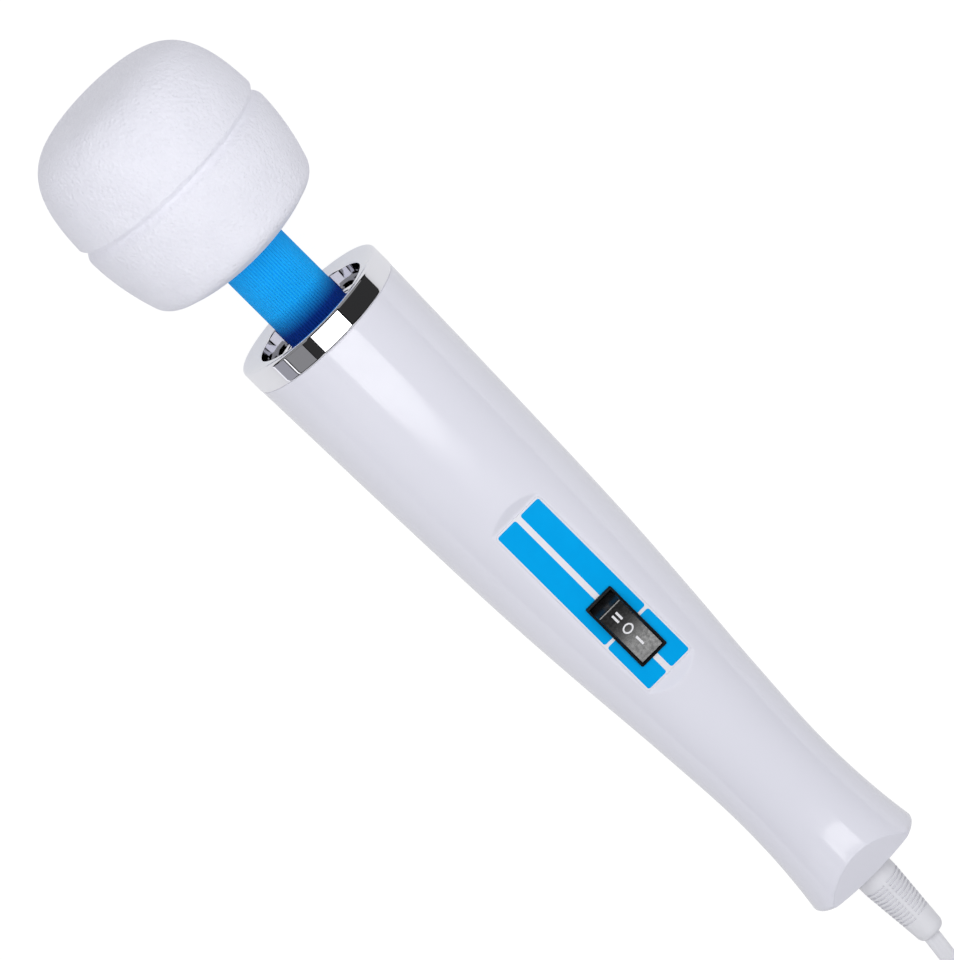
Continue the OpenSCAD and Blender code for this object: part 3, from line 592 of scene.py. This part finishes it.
# ---- Tie round the coil ----
def make_tie():
    """A hook-and-loop strap round the coil's turns, its free end lapped over the top."""
    half_w, low, high, t, wide = 8.0, 0.25, 10.4, 0.2, 6.0
    x, y = COIL_CENTRE
    mid = x - (COIL_OUT_R + COIL_IN_R) / 2
    path = arc((half_w - 1.6, high - 1.6), 1.6, 90, 0, 5)
    path += arc((half_w - 1.0, low + 1.2), 1.0, 0, -90, 4)
    path += arc((-half_w + 1.0, low + 1.2), 1.0, 270, 180, 4)
    path += arc((-half_w + 1.6, high - 1.6), 1.6, 180, 90, 5)
    path += [(-2, high), (3, high + 0.15), (half_w - 1.4, high + 0.5)]
    path += arc((half_w - 1.6, high - 1.1), 1.75, 70, 10, 4) + [(half_w + 0.25, high - 4)]
    line = np.array([(mid + a, y, b) for a, b in through([(a, b, 0) for a, b in path], 3)[:, :2]])
    section = [(a, b) for a, b, _ in rounded_loop(wide, 2 * t, t * 0.9, n=3)]
    d = np.gradient(line, axis=0)
    outward = np.cross(d, (0, 1, 0))
    return swept(line, outward, section)


tie = make_object("coil_tie", make_tie(), ROW)
finish_piece(tie, looks["tie_black"], "root", ("cord_tie",), sharp=50)

# ---- Handle shells ----
RIM_ROUND, DOME = 1.5, 1.5
CAVITY_X = 7.0
RELIEF_NECK_R = 4.25
SLANT_X, SLANT = 8.5, math.radians(37.6)
FLAT_MARGIN = 0.5
FLAT_HALF = LABEL_W / 2 + 0.4
FLAT_RAMP = math.tan(math.radians(30))
SEAM_ANGLES = (89.83, 89.4, 88.6)  # the columns at the seam, in degrees from the shell's middle
SEAM_SUNK = 0.14  # how far the first of them is sunk, which softens the seam's edge
BOSSES = ((44.0, 0.0), (128.0, 9.5), (128.0, -9.5))


def flat_height(x):
    """Height at which a flat a little wider than the label cuts the handle at x."""
    return math.sqrt(float(handle_radius(x)) ** 2 - FLAT_HALF**2)


FLAT_Z0, FLAT_Z1 = flat_height(LABEL_X0), flat_height(LABEL_X1)
FLAT_RISE = (FLAT_Z1 - FLAT_Z0) / LABEL_LEN
FLAT_ANGLE = math.atan(FLAT_RISE)
SWITCH_Z = FLAT_Z0 + (SWITCH_X - LABEL_X0) * FLAT_RISE
SWITCH = WAND @ Matrix.Translation((SWITCH_X, 0, SWITCH_Z)) @ Matrix.Rotation(-FLAT_ANGLE, 4, "Y")


def outer_profile():
    """The handle's outline from its collar end to the hole in its tail, closer where it bends."""
    stretches = (
        (HANDLE_LEN - 0.5, 149, 1.5), (149, 139, 0.3), (139, 84, 1.5),
        (84, 74, 0.3), (74, 13, 1.5), (13, RIM_ROUND, 0.25),
    )
    xs = np.concatenate([np.arange(start, end, -step) for start, end, step in stretches])
    rim_r = float(handle_radius(RIM_ROUND)) - RIM_ROUND
    collar_r = float(handle_radius(HANDLE_LEN))
    points = arc((HANDLE_LEN - 0.3, collar_r - 0.3), 0.3, 0, 80, 4)
    points += list(zip(xs, handle_radius(xs)))
    points += arc((RIM_ROUND, rim_r), RIM_ROUND, 90, 175, 10)
    dome_r = TAIL_D / 2 - RIM_ROUND
    radii = np.linspace(dome_r, RELIEF_NECK_R, 40)[1:]
    points += [(-DOME * (1 - (r / dome_r) ** 2) - 0.02, r) for r in radii]
    return np.array(points)


def lining_outline(outer):
    """The lining inside that outline: a wall's thickness in, then closing to the hole in the tail."""
    start_r = float(handle_radius(CAVITY_X)) - WALL
    beyond = np.cumsum(outer[:, 0] < CAVITY_X)
    x = np.maximum(outer[:, 0], CAVITY_X)
    closing = start_r + (RELIEF_NECK_R - start_r) * beyond / beyond[-1]
    return x, np.where(beyond > 0, closing, handle_radius(x) - WALL)


def mirrored(side):
    """Angles from one edge of a shell to its middle, carried on to the other edge."""
    return np.concatenate([side, -side[-2::-1]])


def front_angles(radii):
    """Angles of the front shell's columns at each radius, closer together at the flat's creases."""
    near = np.array([2.4, 1.6, 1.0, 0.6, 0.3, 0.0, -0.3, -0.6, -1.0, -1.6, -2.4])
    rows = []
    for crease in np.degrees(np.arcsin(FLAT_HALF / np.maximum(radii, 15))):
        wide = crease + near[0] + (SEAM_ANGLES[2] - crease - near[0]) * np.linspace(1, 0, 46)[1:-1]
        narrow = (crease + near[-1]) * np.linspace(1, 0, 20)[1:]
        rows.append(mirrored(np.concatenate([SEAM_ANGLES, wide, crease + near, narrow])))
    return np.radians(np.array(rows))


def rear_angles(n_rows):
    """Angles of the rear shell's columns, the same in each row."""
    side = np.array([*SEAM_ANGLES[:2], *np.linspace(SEAM_ANGLES[2], 0, 66)])
    return np.radians(np.tile(mirrored(side) + 180, (n_rows, 1)))


def flattened(x, z):
    """The front shell's skin after the label's flat and the tail's slant are pressed into it."""
    floor = FLAT_Z0 + (x - LABEL_X0) * FLAT_RISE
    low = FLAT_Z0 + (LABEL_X0 - FLAT_MARGIN - x) * FLAT_RAMP
    high = FLAT_Z1 + (x - LABEL_X1 - FLAT_MARGIN) * FLAT_RAMP
    z = soft_min(z, np.maximum(floor, np.maximum(low, high)), 0.1)
    normal = (-math.sin(SLANT), math.cos(SLANT))
    beyond = (x - SLANT_X) * normal[0] + (z - float(handle_radius(SLANT_X)) + 0.1) * normal[1]
    press = soft_min(beyond, 0, 0.12) - beyond
    return x + press * normal[0], z + press * normal[1]


def half_shell(front):
    """Half of the handle as a closed solid: a skin, a lining, and rims that join the two."""
    outer = outer_profile()
    inner_x, inner_r = lining_outline(outer)
    n_rows = len(outer)
    angles = front_angles(handle_radius(inner_x)) if front else rear_angles(n_rows)
    cols = angles.shape[1]
    sunk = np.zeros(cols)
    sunk[0] = sunk[-1] = SEAM_SUNK
    r = outer[:, 1][:, None] - sunk[None, :]
    x = np.repeat(outer[:, 0][:, None], cols, axis=1)
    y, z = r * np.sin(angles), r * np.cos(angles)
    if front:
        x, z = flattened(x, z)
    skin = np.stack([x, y, z], axis=-1).reshape(-1, 3)
    ix = np.repeat(inner_x[:, None], cols, axis=1)
    iy, iz = inner_r[:, None] * np.sin(angles), inner_r[:, None] * np.cos(angles)
    lining = np.stack([ix, iy, iz], axis=-1).reshape(-1, 3)
    count = len(skin)
    faces = strip(n_rows, cols, False) + strip(n_rows, cols, False, count)
    rims = [range(j, count, cols) for j in (0, cols - 1)]
    rims += [range(i * cols, (i + 1) * cols) for i in (0, n_rows - 1)]
    for rim in rims:
        faces += [(a, b, count + b, count + a) for a, b in zip(rim, rim[1:])]
    return np.vstack([skin, lining]), faces


def switch_window(slack, low, high):
    """A block that cuts room for the switch's body, with that slack in its length and width."""
    size = SWITCH_BODY_L + slack, SWITCH_BODY_W + slack
    return lofted([rounded_loop(*size, 0.4, z) for z in (low, high)])


front_shell = make_object("front_shell_skin", half_shell(True))
cut(front_shell, "DIFFERENCE", switch_window(0.1, -16, 8), SWITCH)
finish_piece(front_shell, looks["handle_white"], "root", ("front_shell",), sharp=40)

rear_shell = make_object("rear_shell_skin", half_shell(False))
for bx, by in BOSSES:
    depth = float(handle_radius(bx)) - 1.5
    cut(rear_shell, "UNION", upright(bx, by, -math.sqrt(depth**2 - by**2), -0.1, 3.4))
    cut(rear_shell, "DIFFERENCE", upright(bx, by, -40, -9, 3.0))
    cut(rear_shell, "DIFFERENCE", upright(bx, by, -12, 4, 1.7))
finish_piece(rear_shell, looks["handle_white"], "root", ("rear_shell",), sharp=40)


# ---- Collar ----
COLLAR_IN_R, COLLAR_PROUD = 21.0, 0.1
COLLAR_ROUND, COLLAR_DISH, BORE_ROUND, BORE_TAPER = 0.8, 0.9, 0.5, 0.09
BORE_X = COLLAR_X - COLLAR_DISH - BORE_ROUND


def collar_profile():
    """The chrome collar: a plain band, a dished front, a deep opening and a floor round the neck."""
    out_r, x0, x1 = HANDLE_D / 2 + COLLAR_PROUD, HANDLE_LEN + 0.05, COLLAR_X
    points = [(x0, COLLAR_IN_R), (x0, out_r - 0.25)] + arc((x0 + 0.25, out_r - 0.25), 0.25, 170, 90, 4)
    points += [(x, out_r) for x in np.linspace(x0 + 1, x1 - 1.2, 5)]
    points += arc((x1 - COLLAR_ROUND, out_r - COLLAR_ROUND), COLLAR_ROUND, 90, 6, 12)
    for t in np.linspace(0.04, 0.96, 24):
        r = out_r - COLLAR_ROUND + (COLLAR_BORE_R + BORE_ROUND - out_r + COLLAR_ROUND) * t
        points.append((x1 - COLLAR_DISH * t - 0.1 * math.sin(math.pi * t), r))
    points += arc((BORE_X, COLLAR_BORE_R + BORE_ROUND), BORE_ROUND, -2, -90, 10)
    bore_xs = np.linspace(x1 - 2, HANDLE_LEN + 0.5, 8)
    points += [(x, COLLAR_BORE_R - BORE_TAPER * (BORE_X - x)) for x in bore_xs]
    floor_r = COLLAR_BORE_R - 0.6
    points += [(HANDLE_LEN + 0.15, floor_r - 0.15), (HANDLE_LEN, floor_r - 0.6)]
    points += [(HANDLE_LEN, r) for r in np.linspace(floor_r - 1.2, SLEEVE_R + 0.9, 5)]
    points += [(HANDLE_LEN - 0.3, SLEEVE_R + 0.6), (HANDLE_LEN - 2.5, SLEEVE_R + 0.6)]
    points += [(HANDLE_LEN - 2.5, 19.5), (HANDLE_LEN - 5, 19.5), (HANDLE_LEN - 5, COLLAR_IN_R)]
    return points


collar = make_object("collar_band", turned(collar_profile(), 288, closed=True))
finish_piece(collar, looks["chrome"], "root", ("collar_ring",), sharp=30)

# ---- Neck: its sleeve and springs, each drawn in two halves ----
RIBS = 72
RIB_DEPTH = 0.28
SLEEVE_WALL = 1.1
SLEEVE_X0, SLEEVE_MID, SLEEVE_X1 = HANDLE_LEN - 3.2, 222.0, HEAD_X + 3.4


def ribbed_tube(x0, x1):
    """A length of the sleeve, with fine ribs that run along it."""
    per_rib = 8
    n = RIBS * per_rib
    a = np.arange(n) / n * 2 * math.pi
    ridge = np.abs(np.sin(a * RIBS / 2)) ** 0.7
    outer = SLEEVE_R - RIB_DEPTH * (1 - ridge)
    xs = np.linspace(x0, x1, int((x1 - x0) / 0.5) + 1)
    loops = [[(x, r * math.sin(t), r * math.cos(t)) for t, r in zip(a, outer)] for x in xs]
    inner_r = SLEEVE_R - SLEEVE_WALL
    loops += [[(x, inner_r * math.sin(t), inner_r * math.cos(t)) for t in a] for x in xs[::-1]]
    loops.append(loops[0])
    return lofted(loops, caps=False)


def spring_length(x0, x1, radius, wire_r, pitch, per_turn=20):
    """A length of a coil spring. Its turn follows x, so that two lengths meet as one wire."""
    xs = np.linspace(x0, x1, round((x1 - x0) / pitch * per_turn) + 1)
    turn = xs / pitch * 2 * math.pi
    line = np.column_stack([xs, radius * np.sin(turn), radius * np.cos(turn)])
    return swept(line, np.tile((1.0, 0, 0), (len(xs), 1)), arc((0, 0), wire_r, 0, 330, 11))


def add_halves(node, look, sharp, ends, make_length, *sizes):
    """Adds the two halves of a node that bends. make_length(x0, x1, *sizes) draws a length of it."""
    for half, x0, x1, pair, bend in (
        ("lower", ends[0], SLEEVE_MID, ("root", "neck"), (211, 219)),
        ("upper", SLEEVE_MID, ends[1], ("neck", "head"), (225, 240)),
    ):
        piece = make_object(f"{node}_{half}", make_length(x0, x1, *sizes))
        finish_piece(piece, looks[look], stands_for=(node,), sharp=sharp)
        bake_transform(piece)


add_halves("neck_sleeve", "sleeve_blue", 75, (SLEEVE_X0, SLEEVE_X1), ribbed_tube)
for spring, ends, radius, wire_r, pitch in (
    ("neck_spring", (208.7, 243.8), 7.75, 0.8, 2.93),
    ("drive_spring", (208.8, 239.2), 4.0, 0.6, 2.17),
):
    add_halves(spring, "steel", 60, ends, spring_length, radius, wire_r, pitch)

# ---- Head ----
GROOVE_X, GROOVE_DEPTH, GROOVE_LIPS = TIP_X - 28.8, 1.3, (2.4, 3.4)
FRONT_STEP = 0.1  # how much smaller the cushion is in front of its groove
FLANK_X, FLANK_FALL = TIP_X - 30.7, 0.0075
NOSE_LEN, NOSE_POWER_X, NOSE_POWER_R = 32.0, 2.75, 4.4
REAR_CORNER, REAR_CORNER_X = 6.5, HEAD_X + 7.0
REAR_SLOPE = math.atan(2 * FLANK_FALL * (FLANK_X - REAR_CORNER_X))


def head_outline():
    """Half outline of the cushion from its tip to the hole for the neck."""
    t = np.radians(np.concatenate([[0, 0.02, 0.1], np.linspace(0.4, 20, 30), np.linspace(21, 85, 64)]))
    nose_x = TIP_X - NOSE_LEN * (1 - np.cos(t) ** (2 / NOSE_POWER_X))
    nose_r = (HEAD_R - 0.1) * np.sin(t) ** (2 / NOSE_POWER_R)
    points = list(zip(nose_x, nose_r))
    for x in np.arange(nose_x[-1] - 0.15, REAR_CORNER_X + 0.1, -0.15):
        lip = GROOVE_LIPS[0] if x > GROOVE_X else GROOVE_LIPS[1]
        groove = GROOVE_DEPTH * (1 - smooth_step(abs(x - GROOVE_X), 0.1, lip)) ** 1.5
        step = FRONT_STEP * smooth_step(x, GROOVE_X - 1, GROOVE_X + 1)
        points.append((x, float(HEAD_R - step - FLANK_FALL * max(0, FLANK_X - x) ** 2 - groove)))
    flank_r = HEAD_R - FLANK_FALL * (FLANK_X - REAR_CORNER_X) ** 2
    corner_x = REAR_CORNER_X + REAR_CORNER * math.sin(REAR_SLOPE)
    corner_r = flank_r - REAR_CORNER * math.cos(REAR_SLOPE)
    points += arc((corner_x, corner_r), REAR_CORNER, 90 + math.degrees(REAR_SLOPE), 165, 18)
    rear_x, rear_r = points[-1]
    hole_r = SLEEVE_R + 1.9
    for k in np.linspace(0.06, 1, 20):
        points.append((rear_x + (HEAD_X - rear_x) * (1 - (1 - k) ** 2), rear_r + (hole_r - rear_r) * k))
    return points


def make_head():
    """The cushion's skin, with the hollow that its core fills."""
    hole_r = SLEEVE_R + 0.5
    inner = [(HEAD_X + 0.3, hole_r + 0.6), (HEAD_X + 0.7, hole_r), (HEAD_X + 4.8, hole_r)]
    inner += [(HEAD_X + 4.8, 23.7), (HEAD_X + 5.8, 24.7)]
    inner += [(TIP_X - 14, 24.7), (TIP_X - 10.8, 21.5), (TIP_X - 10.8, 0)]
    return turned(head_outline() + inner, 256)


head = make_object("head_cushion_skin", make_head())
finish_piece(head, looks["cushion_white"], "head", ("head_cushion",), sharp=50)

# ---- Label ----
PANEL_GAP_X, PANEL_GAP_Y, BORDER = 1.0, 1.75, 0.5
PANEL_SPLIT_X = LABEL_X1 - 43.5
LABEL_BASE_Z, LABEL_TOP_Z = 0.42, 0.47


def make_panels():
    """The four printed panels round the switch."""
    spans = [
        (LABEL_X0 + BORDER, PANEL_SPLIT_X - PANEL_GAP_X / 2),
        (PANEL_SPLIT_X + PANEL_GAP_X / 2, LABEL_X1 - BORDER),
    ]
    width = (LABEL_W - 2 * BORDER - PANEL_GAP_Y) / 2
    panels = []
    for x0, x1 in spans:
        for side in (-1, 1):
            place = Matrix.Translation(((x0 + x1) / 2 - SWITCH_X, side * (PANEL_GAP_Y + width) / 2, 0))
            panels.append(moved(slab(x1 - x0, width, 0.7, LABEL_BASE_Z - 0.2, LABEL_TOP_Z, 0.04), place))
    return joined(*panels)


base_place = SWITCH @ Matrix.Translation(((LABEL_X0 + LABEL_X1) / 2 - SWITCH_X, 0, 0))
plate = slab(LABEL_LEN, LABEL_W, 1.3, 0.0, LABEL_BASE_Z, 0.12)
label_base = make_object("label_plate_white", plate, base_place)
label_panels = make_object("label_panels", make_panels(), SWITCH)
for layer in (label_base, label_panels):
    cut(layer, "DIFFERENCE", switch_window(0, -4, 4), SWITCH)
finish_piece(label_base, looks["label_white"], "root", ("label_plate",))
finish_piece(label_panels, looks["label_blue"], "root", ("label_plate",))

# ---- Switch ----
BEZEL_L, BEZEL_W, BEZEL_Z, BEZEL_H = 22.7, 9.4, 0.48, 0.86
WELL_L, WELL_W, WELL_FLOOR = 21.3, 8.1, -9.8
BEZEL_ROUND, WELL_ROUND = 0.2, 0.15
PIVOT_Z = -3.66
ROCKER_TILT = 10.0
PIVOT = SWITCH @ Matrix.Translation((0, 0, PIVOT_Z)) @ Matrix.Rotation(math.radians(-ROCKER_TILT), 4, "Y")
ROCKER_HALF, ROCKER_TOP, ROCKER_DISH, ROCKER_W = 9.4, 6.9, 0.6, 7.9
ROCKER_LAND = 0.35
PRINT_LOW, PRINT_HIGH = -0.1, 0.03  # the marks' heights over the rocker's top


def make_housing():
    """The switch's frame and the well that the rocker sits in."""
    top = BEZEL_Z + BEZEL_H
    loops = [rounded_loop(SWITCH_BODY_L, SWITCH_BODY_W, 0.3, z) for z in (-11, BEZEL_Z)]
    loops.append(rounded_loop(BEZEL_L, BEZEL_W, 0.5, BEZEL_Z))
    for inset, rise in edge_steps(BEZEL_ROUND, (0, 30, 60, 90)):
        size = BEZEL_L - 2 * inset, BEZEL_W - 2 * inset
        loops.append(rounded_loop(*size, 0.5 - inset, top - BEZEL_ROUND + rise))
    for inset, rise in edge_steps(WELL_ROUND, (90, 60, 30, 0)):
        size = WELL_L + 0.3 - 2 * inset, WELL_W + 0.3 - 2 * inset
        loops.append(rounded_loop(*size, 0.45 - inset, top - WELL_ROUND + rise))
    loops.append(rounded_loop(WELL_L, WELL_W, 0.3, WELL_FLOOR))
    return lofted(loops)


def rocker_top(x):
    """Height of the rocker's dished top above its pivot."""
    return ROCKER_TOP - ROCKER_DISH * (1 - (x / ROCKER_HALF) ** 2)


def make_rocker():
    """The rocker: a dished top with a narrow land at its raised end, slanted ends and softened edges."""
    land_x = ROCKER_HALF - 0.1 - ROCKER_LAND
    xs = np.linspace(-ROCKER_HALF + 0.25, land_x, 40)
    side = [(x, rocker_top(x)) for x in xs]
    land_z = rocker_top(land_x) - 0.09 * ROCKER_LAND
    side += [(land_x + ROCKER_LAND, land_z), (ROCKER_HALF + 0.06, ROCKER_TOP - 0.35), (10.35, 1.5)]
    side += [(9.45, -0.8), (2.4, -1.8), (-2.4, -1.8), (-9.45, -0.8), (-10.35, 1.5)]
    side += [(-ROCKER_HALF - 0.06, ROCKER_TOP - 0.3), (-ROCKER_HALF + 0.08, ROCKER_TOP - 0.08)]
    centre = np.array([0.0, 2.5])
    loops = []
    half = ROCKER_W / 2
    for inset, y in ((0.25, -half), (0.07, -half + 0.07), (0, -half + 0.25), (0, half - 0.25),
                     (0.07, half - 0.07), (0.25, half)):
        p = np.array(side) - centre
        p = centre + p * (1 - inset / np.abs(p).max(axis=0))
        loops.append([(x, y, z) for x, z in p])
    return lofted(loops)


def printed(outlines):
    """Thin marks that follow the rocker's top, one for each outline of (x, y)."""
    lifts = (PRINT_LOW, PRINT_HIGH)
    return joined(*(
        lofted([[(x, y, rocker_top(x) + lift) for x, y in outline] for lift in lifts]) for outline in outlines
    ))


def bar(x, y, length, width):
    """Outline of a bar about (x, y)."""
    return [(x + a, y + b) for a, b, _ in rounded_loop(length, width, 0.1, n=2)]


def ring_mark(x, length, width, stroke, n=48):
    """The ring that marks off: a band that follows the rocker's top, closed on itself."""
    a = np.linspace(0, 2 * math.pi, n, endpoint=False)
    loops = []
    corners = ((0, PRINT_LOW), (0, PRINT_HIGH), (stroke, PRINT_HIGH), (stroke, PRINT_LOW), (0, PRINT_LOW))
    for shrink, lift in corners:
        rx, ry = length / 2 - shrink, width / 2 - shrink
        px = x + rx * np.cos(a)
        loops.append(np.column_stack([px, ry * np.sin(a), rocker_top(px) + lift]))
    return lofted(loops, caps=False)


housing = make_object("switch_frame", make_housing(), SWITCH)
finish_piece(housing, looks["switch_black"], "root", ("switch_housing",))
rocker = make_object("rocker_cap", make_rocker(), PIVOT)
finish_piece(rocker, looks["switch_black"], "rocker", ("rocker",), sharp=10)
marks = joined(
    printed([bar(5.7, 0.68, 2.9, 0.67), bar(5.7, -0.68, 2.9, 0.67), bar(-4.0, 0, 3.1, 0.67)]),
    ring_mark(0.95, 2.95, 3.3, 0.5),
)
symbols = make_object("rocker_symbols", marks, PIVOT)
finish_piece(symbols, looks["print_white"], "rocker")

# ---- Strain relief ----
RELIEF_ROOT_R, RELIEF_TIP_R, TIP_ROUND = 5.8, 4.1, 1.6
TAPER_X, TIP_ROUND_X = -6.5, TIP_ROUND - RELIEF_LEN
TAPER_LEN = 18.5
SLOT_COUNT, SLOT_X, SLOT_PITCH, SLOT_W, SLOT_STAGGER = 11, -6.1, 1.3, 0.55, 0.35
SLOT_DEPTH, WEB_HALF = 0.5, 0.55


def relief_radius(x):
    """Outline of the strain relief from its root against the tail to its rounded tip."""
    if x < TIP_ROUND_X:
        from_round = min(TIP_ROUND_X - x, TIP_ROUND) / TIP_ROUND
        return RELIEF_TIP_R - TIP_ROUND + TIP_ROUND * math.sqrt(1 - from_round**2)
    taper = float(np.clip((TAPER_X - x) / TAPER_LEN, 0, 1))
    return RELIEF_ROOT_R + (RELIEF_TIP_R + 0.1 - RELIEF_ROOT_R) * taper


def slot_middles(side):
    """Where that side's slots are along the wand."""
    shift = SLOT_STAGGER if side > 0 else 0.0
    return SLOT_X - shift - SLOT_PITCH * np.arange(SLOT_COUNT)


def relief_ring(x):
    """The strain relief's outline across x, sunk where a slot passes."""
    r = relief_radius(x) if x < -1.5 else RELIEF_NECK_R - 0.1
    web = math.degrees(math.asin(WEB_HALF / r))
    quarter = np.concatenate([np.linspace(0, web - 1.2, 5), [web], np.linspace(web + 1.2, 90, 14)])
    half = np.concatenate([quarter, 180 - quarter[-2::-1]])
    in_slot = {side: np.abs(x - slot_middles(side)).min() < SLOT_W / 2 for side in (-1, 1)}
    ring = []
    for a in np.concatenate([half, 360 - half[-2:0:-1]]):
        side = 1 if 0 < a < 180 else -1
        from_web = min(abs(a - k) for k in (0, 180, 360))
        radius = r - SLOT_DEPTH if from_web > web + 0.6 and in_slot[side] else r
        ring.append((x, radius * math.sin(math.radians(a)), radius * math.cos(math.radians(a))))
    return ring


def make_relief():
    """A flexible sleeve with thin slots on both sides of a web that runs down its front and its back."""
    middles = np.concatenate([slot_middles(-1), slot_middles(1)])
    edges = [m + e + d for m in middles for e in (-SLOT_W / 2, SLOT_W / 2) for d in (-0.03, 0.03)]
    plain = [*np.linspace(6, -1.4, 4), *np.linspace(-1.6, -5.6, 10), *np.linspace(-20.4, TIP_ROUND_X, 10)]
    tip = [TIP_ROUND_X - TIP_ROUND * math.sin(math.radians(a)) for a in range(8, 89, 8)]
    return lofted([relief_ring(x) for x in sorted(edges + plain + tip, reverse=True)])


relief = make_object("strain_relief_skin", make_relief())
finish_piece(relief, looks["cord_white"], "root", ("strain_relief",), sharp=35)

# ---- CAD parts that stay, with their materials ----
for part in frame["record"]["subparts"]:
    node = frame["nodes"][part["node"]]
    node.data.materials.clear()
    node.data.materials.append(looks[part["material_slot"]])


# ---- Floor and light ----
def add_floor(name, below, albedo, glow):
    """A wide pale floor, that many metres below the surface the wand lies on."""
    look = Look(name, (albedo, albedo, albedo), 0.9, Emission_Color=(1, 1, 1, 1), Emission_Strength=glow)
    look.mottled((0.99 * albedo, 0.99 * albedo, 0.99 * albedo), 300)
    wide = 6.0
    corners = [(x, y, -below) for x, y in ((-wide, -wide), (wide, -wide), (wide, wide), (-wide, wide))]
    floor = make_object(name, (corners, [(0, 1, 2, 3)]), Matrix.Identity(4))
    floor.data.materials.append(look.material)
    return floor


def add_card(name, angles, span, radiance, colour=(1, 1, 1), away=1.0):
    """A light card over the wand, facing it.

    angles are its sides as degrees from straight up, positive to the wand's +Y side, seen from the wand.
    span is where its ends are along the wand, in millimetres, and away is its distance in metres.
    """
    middle, half = math.radians(sum(angles) / 2), math.radians(angles[1] - angles[0]) / 2
    size = ((span[1] - span[0]) * MM, 2 * away * math.tan(half))
    data = bpy.data.lights.new(name, "AREA")
    data.shape, data.size, data.size_y, data.color = "RECTANGLE", *size, colour
    data.energy = radiance * math.pi * size[0] * size[1]
    card = bpy.data.objects.new(name, data)
    outward = up * math.cos(middle) + across * math.sin(middle)
    place = Matrix((along, outward.cross(along), outward)).transposed().to_4x4()
    place.translation = wand_point(sum(span) / 2) + outward * away
    card.matrix_world = place
    card.visible_camera = False
    bpy.context.scene.collection.objects.link(card)
    return card


def light_only(card, *pieces):
    """Keeps a card for the mirror image in those pieces alone."""
    group = bpy.data.collections.new(card.name)
    for piece in pieces:
        group.objects.link(piece)
    card.light_linking.receiver_collection = group
    card.visible_diffuse = False


def add_lights():
    """Even light from all round, a large soft key, and the cards that the chrome and the gloss mirror."""
    world = bpy.data.worlds.new("studio")
    world.use_nodes = True
    sky = world.node_tree.nodes["Background"].inputs
    sky["Color"].default_value = (0.95, 0.955, 1.0, 1)
    sky["Strength"].default_value = 0.5
    bpy.context.scene.world = world
    world.cycles_visibility.glossy = False
    add_card("key", (-38, 38), (0, 900), 1.7).visible_glossy = False
    add_card("softbox", (-25, 22), (-163, -79), 3.2, away=1.165)
    card_span = (-136, 104)
    for name, angles, radiance, colour in (
        ("card_dim_left", (-89, -27), 0.03, (1, 1, 1)),
        ("card_dim_right", (23, 36), 0.03, (1, 1, 1)),
        ("card_grey", (37, 66), 0.25, (1, 1, 1.02)),
        ("card_line", (67.5, 69.5), 1.2, (1, 1, 1)),
        ("card_lavender", (71, 97), 0.34, (0.97, 0.97, 1.08)),
    ):
        add_card(name, angles, card_span, radiance, colour).visible_diffuse = False
    light_only(add_card("card_collar", (-25, 22), card_span, 3.2), collar)
    for end, span, radiance in (("tail", (-3000, -200), 0.7), ("head", (170, 3000), 0.25)):
        for side, angles in (("left", (-78, -28)), ("top", (-28, 28)), ("right", (28, 78))):
            light_only(add_card(f"sky_{end}_{side}", angles, span, radiance), collar, blades)
    light_only(add_card("card_switch", (-9, 9), (-690, -350), 18.0), rocker)


# The camera sees one floor, and the other lights the wand from below.
seen_floor = add_floor("floor_seen", 0.0, 0.12, 0.93)
seen_floor.visible_diffuse = seen_floor.visible_glossy = False
lit_floor = add_floor("floor_lit", 0.0005, 0.4, 0.49)
lit_floor.visible_camera = False
add_lights()
bpy.context.scene.view_settings.view_transform = "Standard"
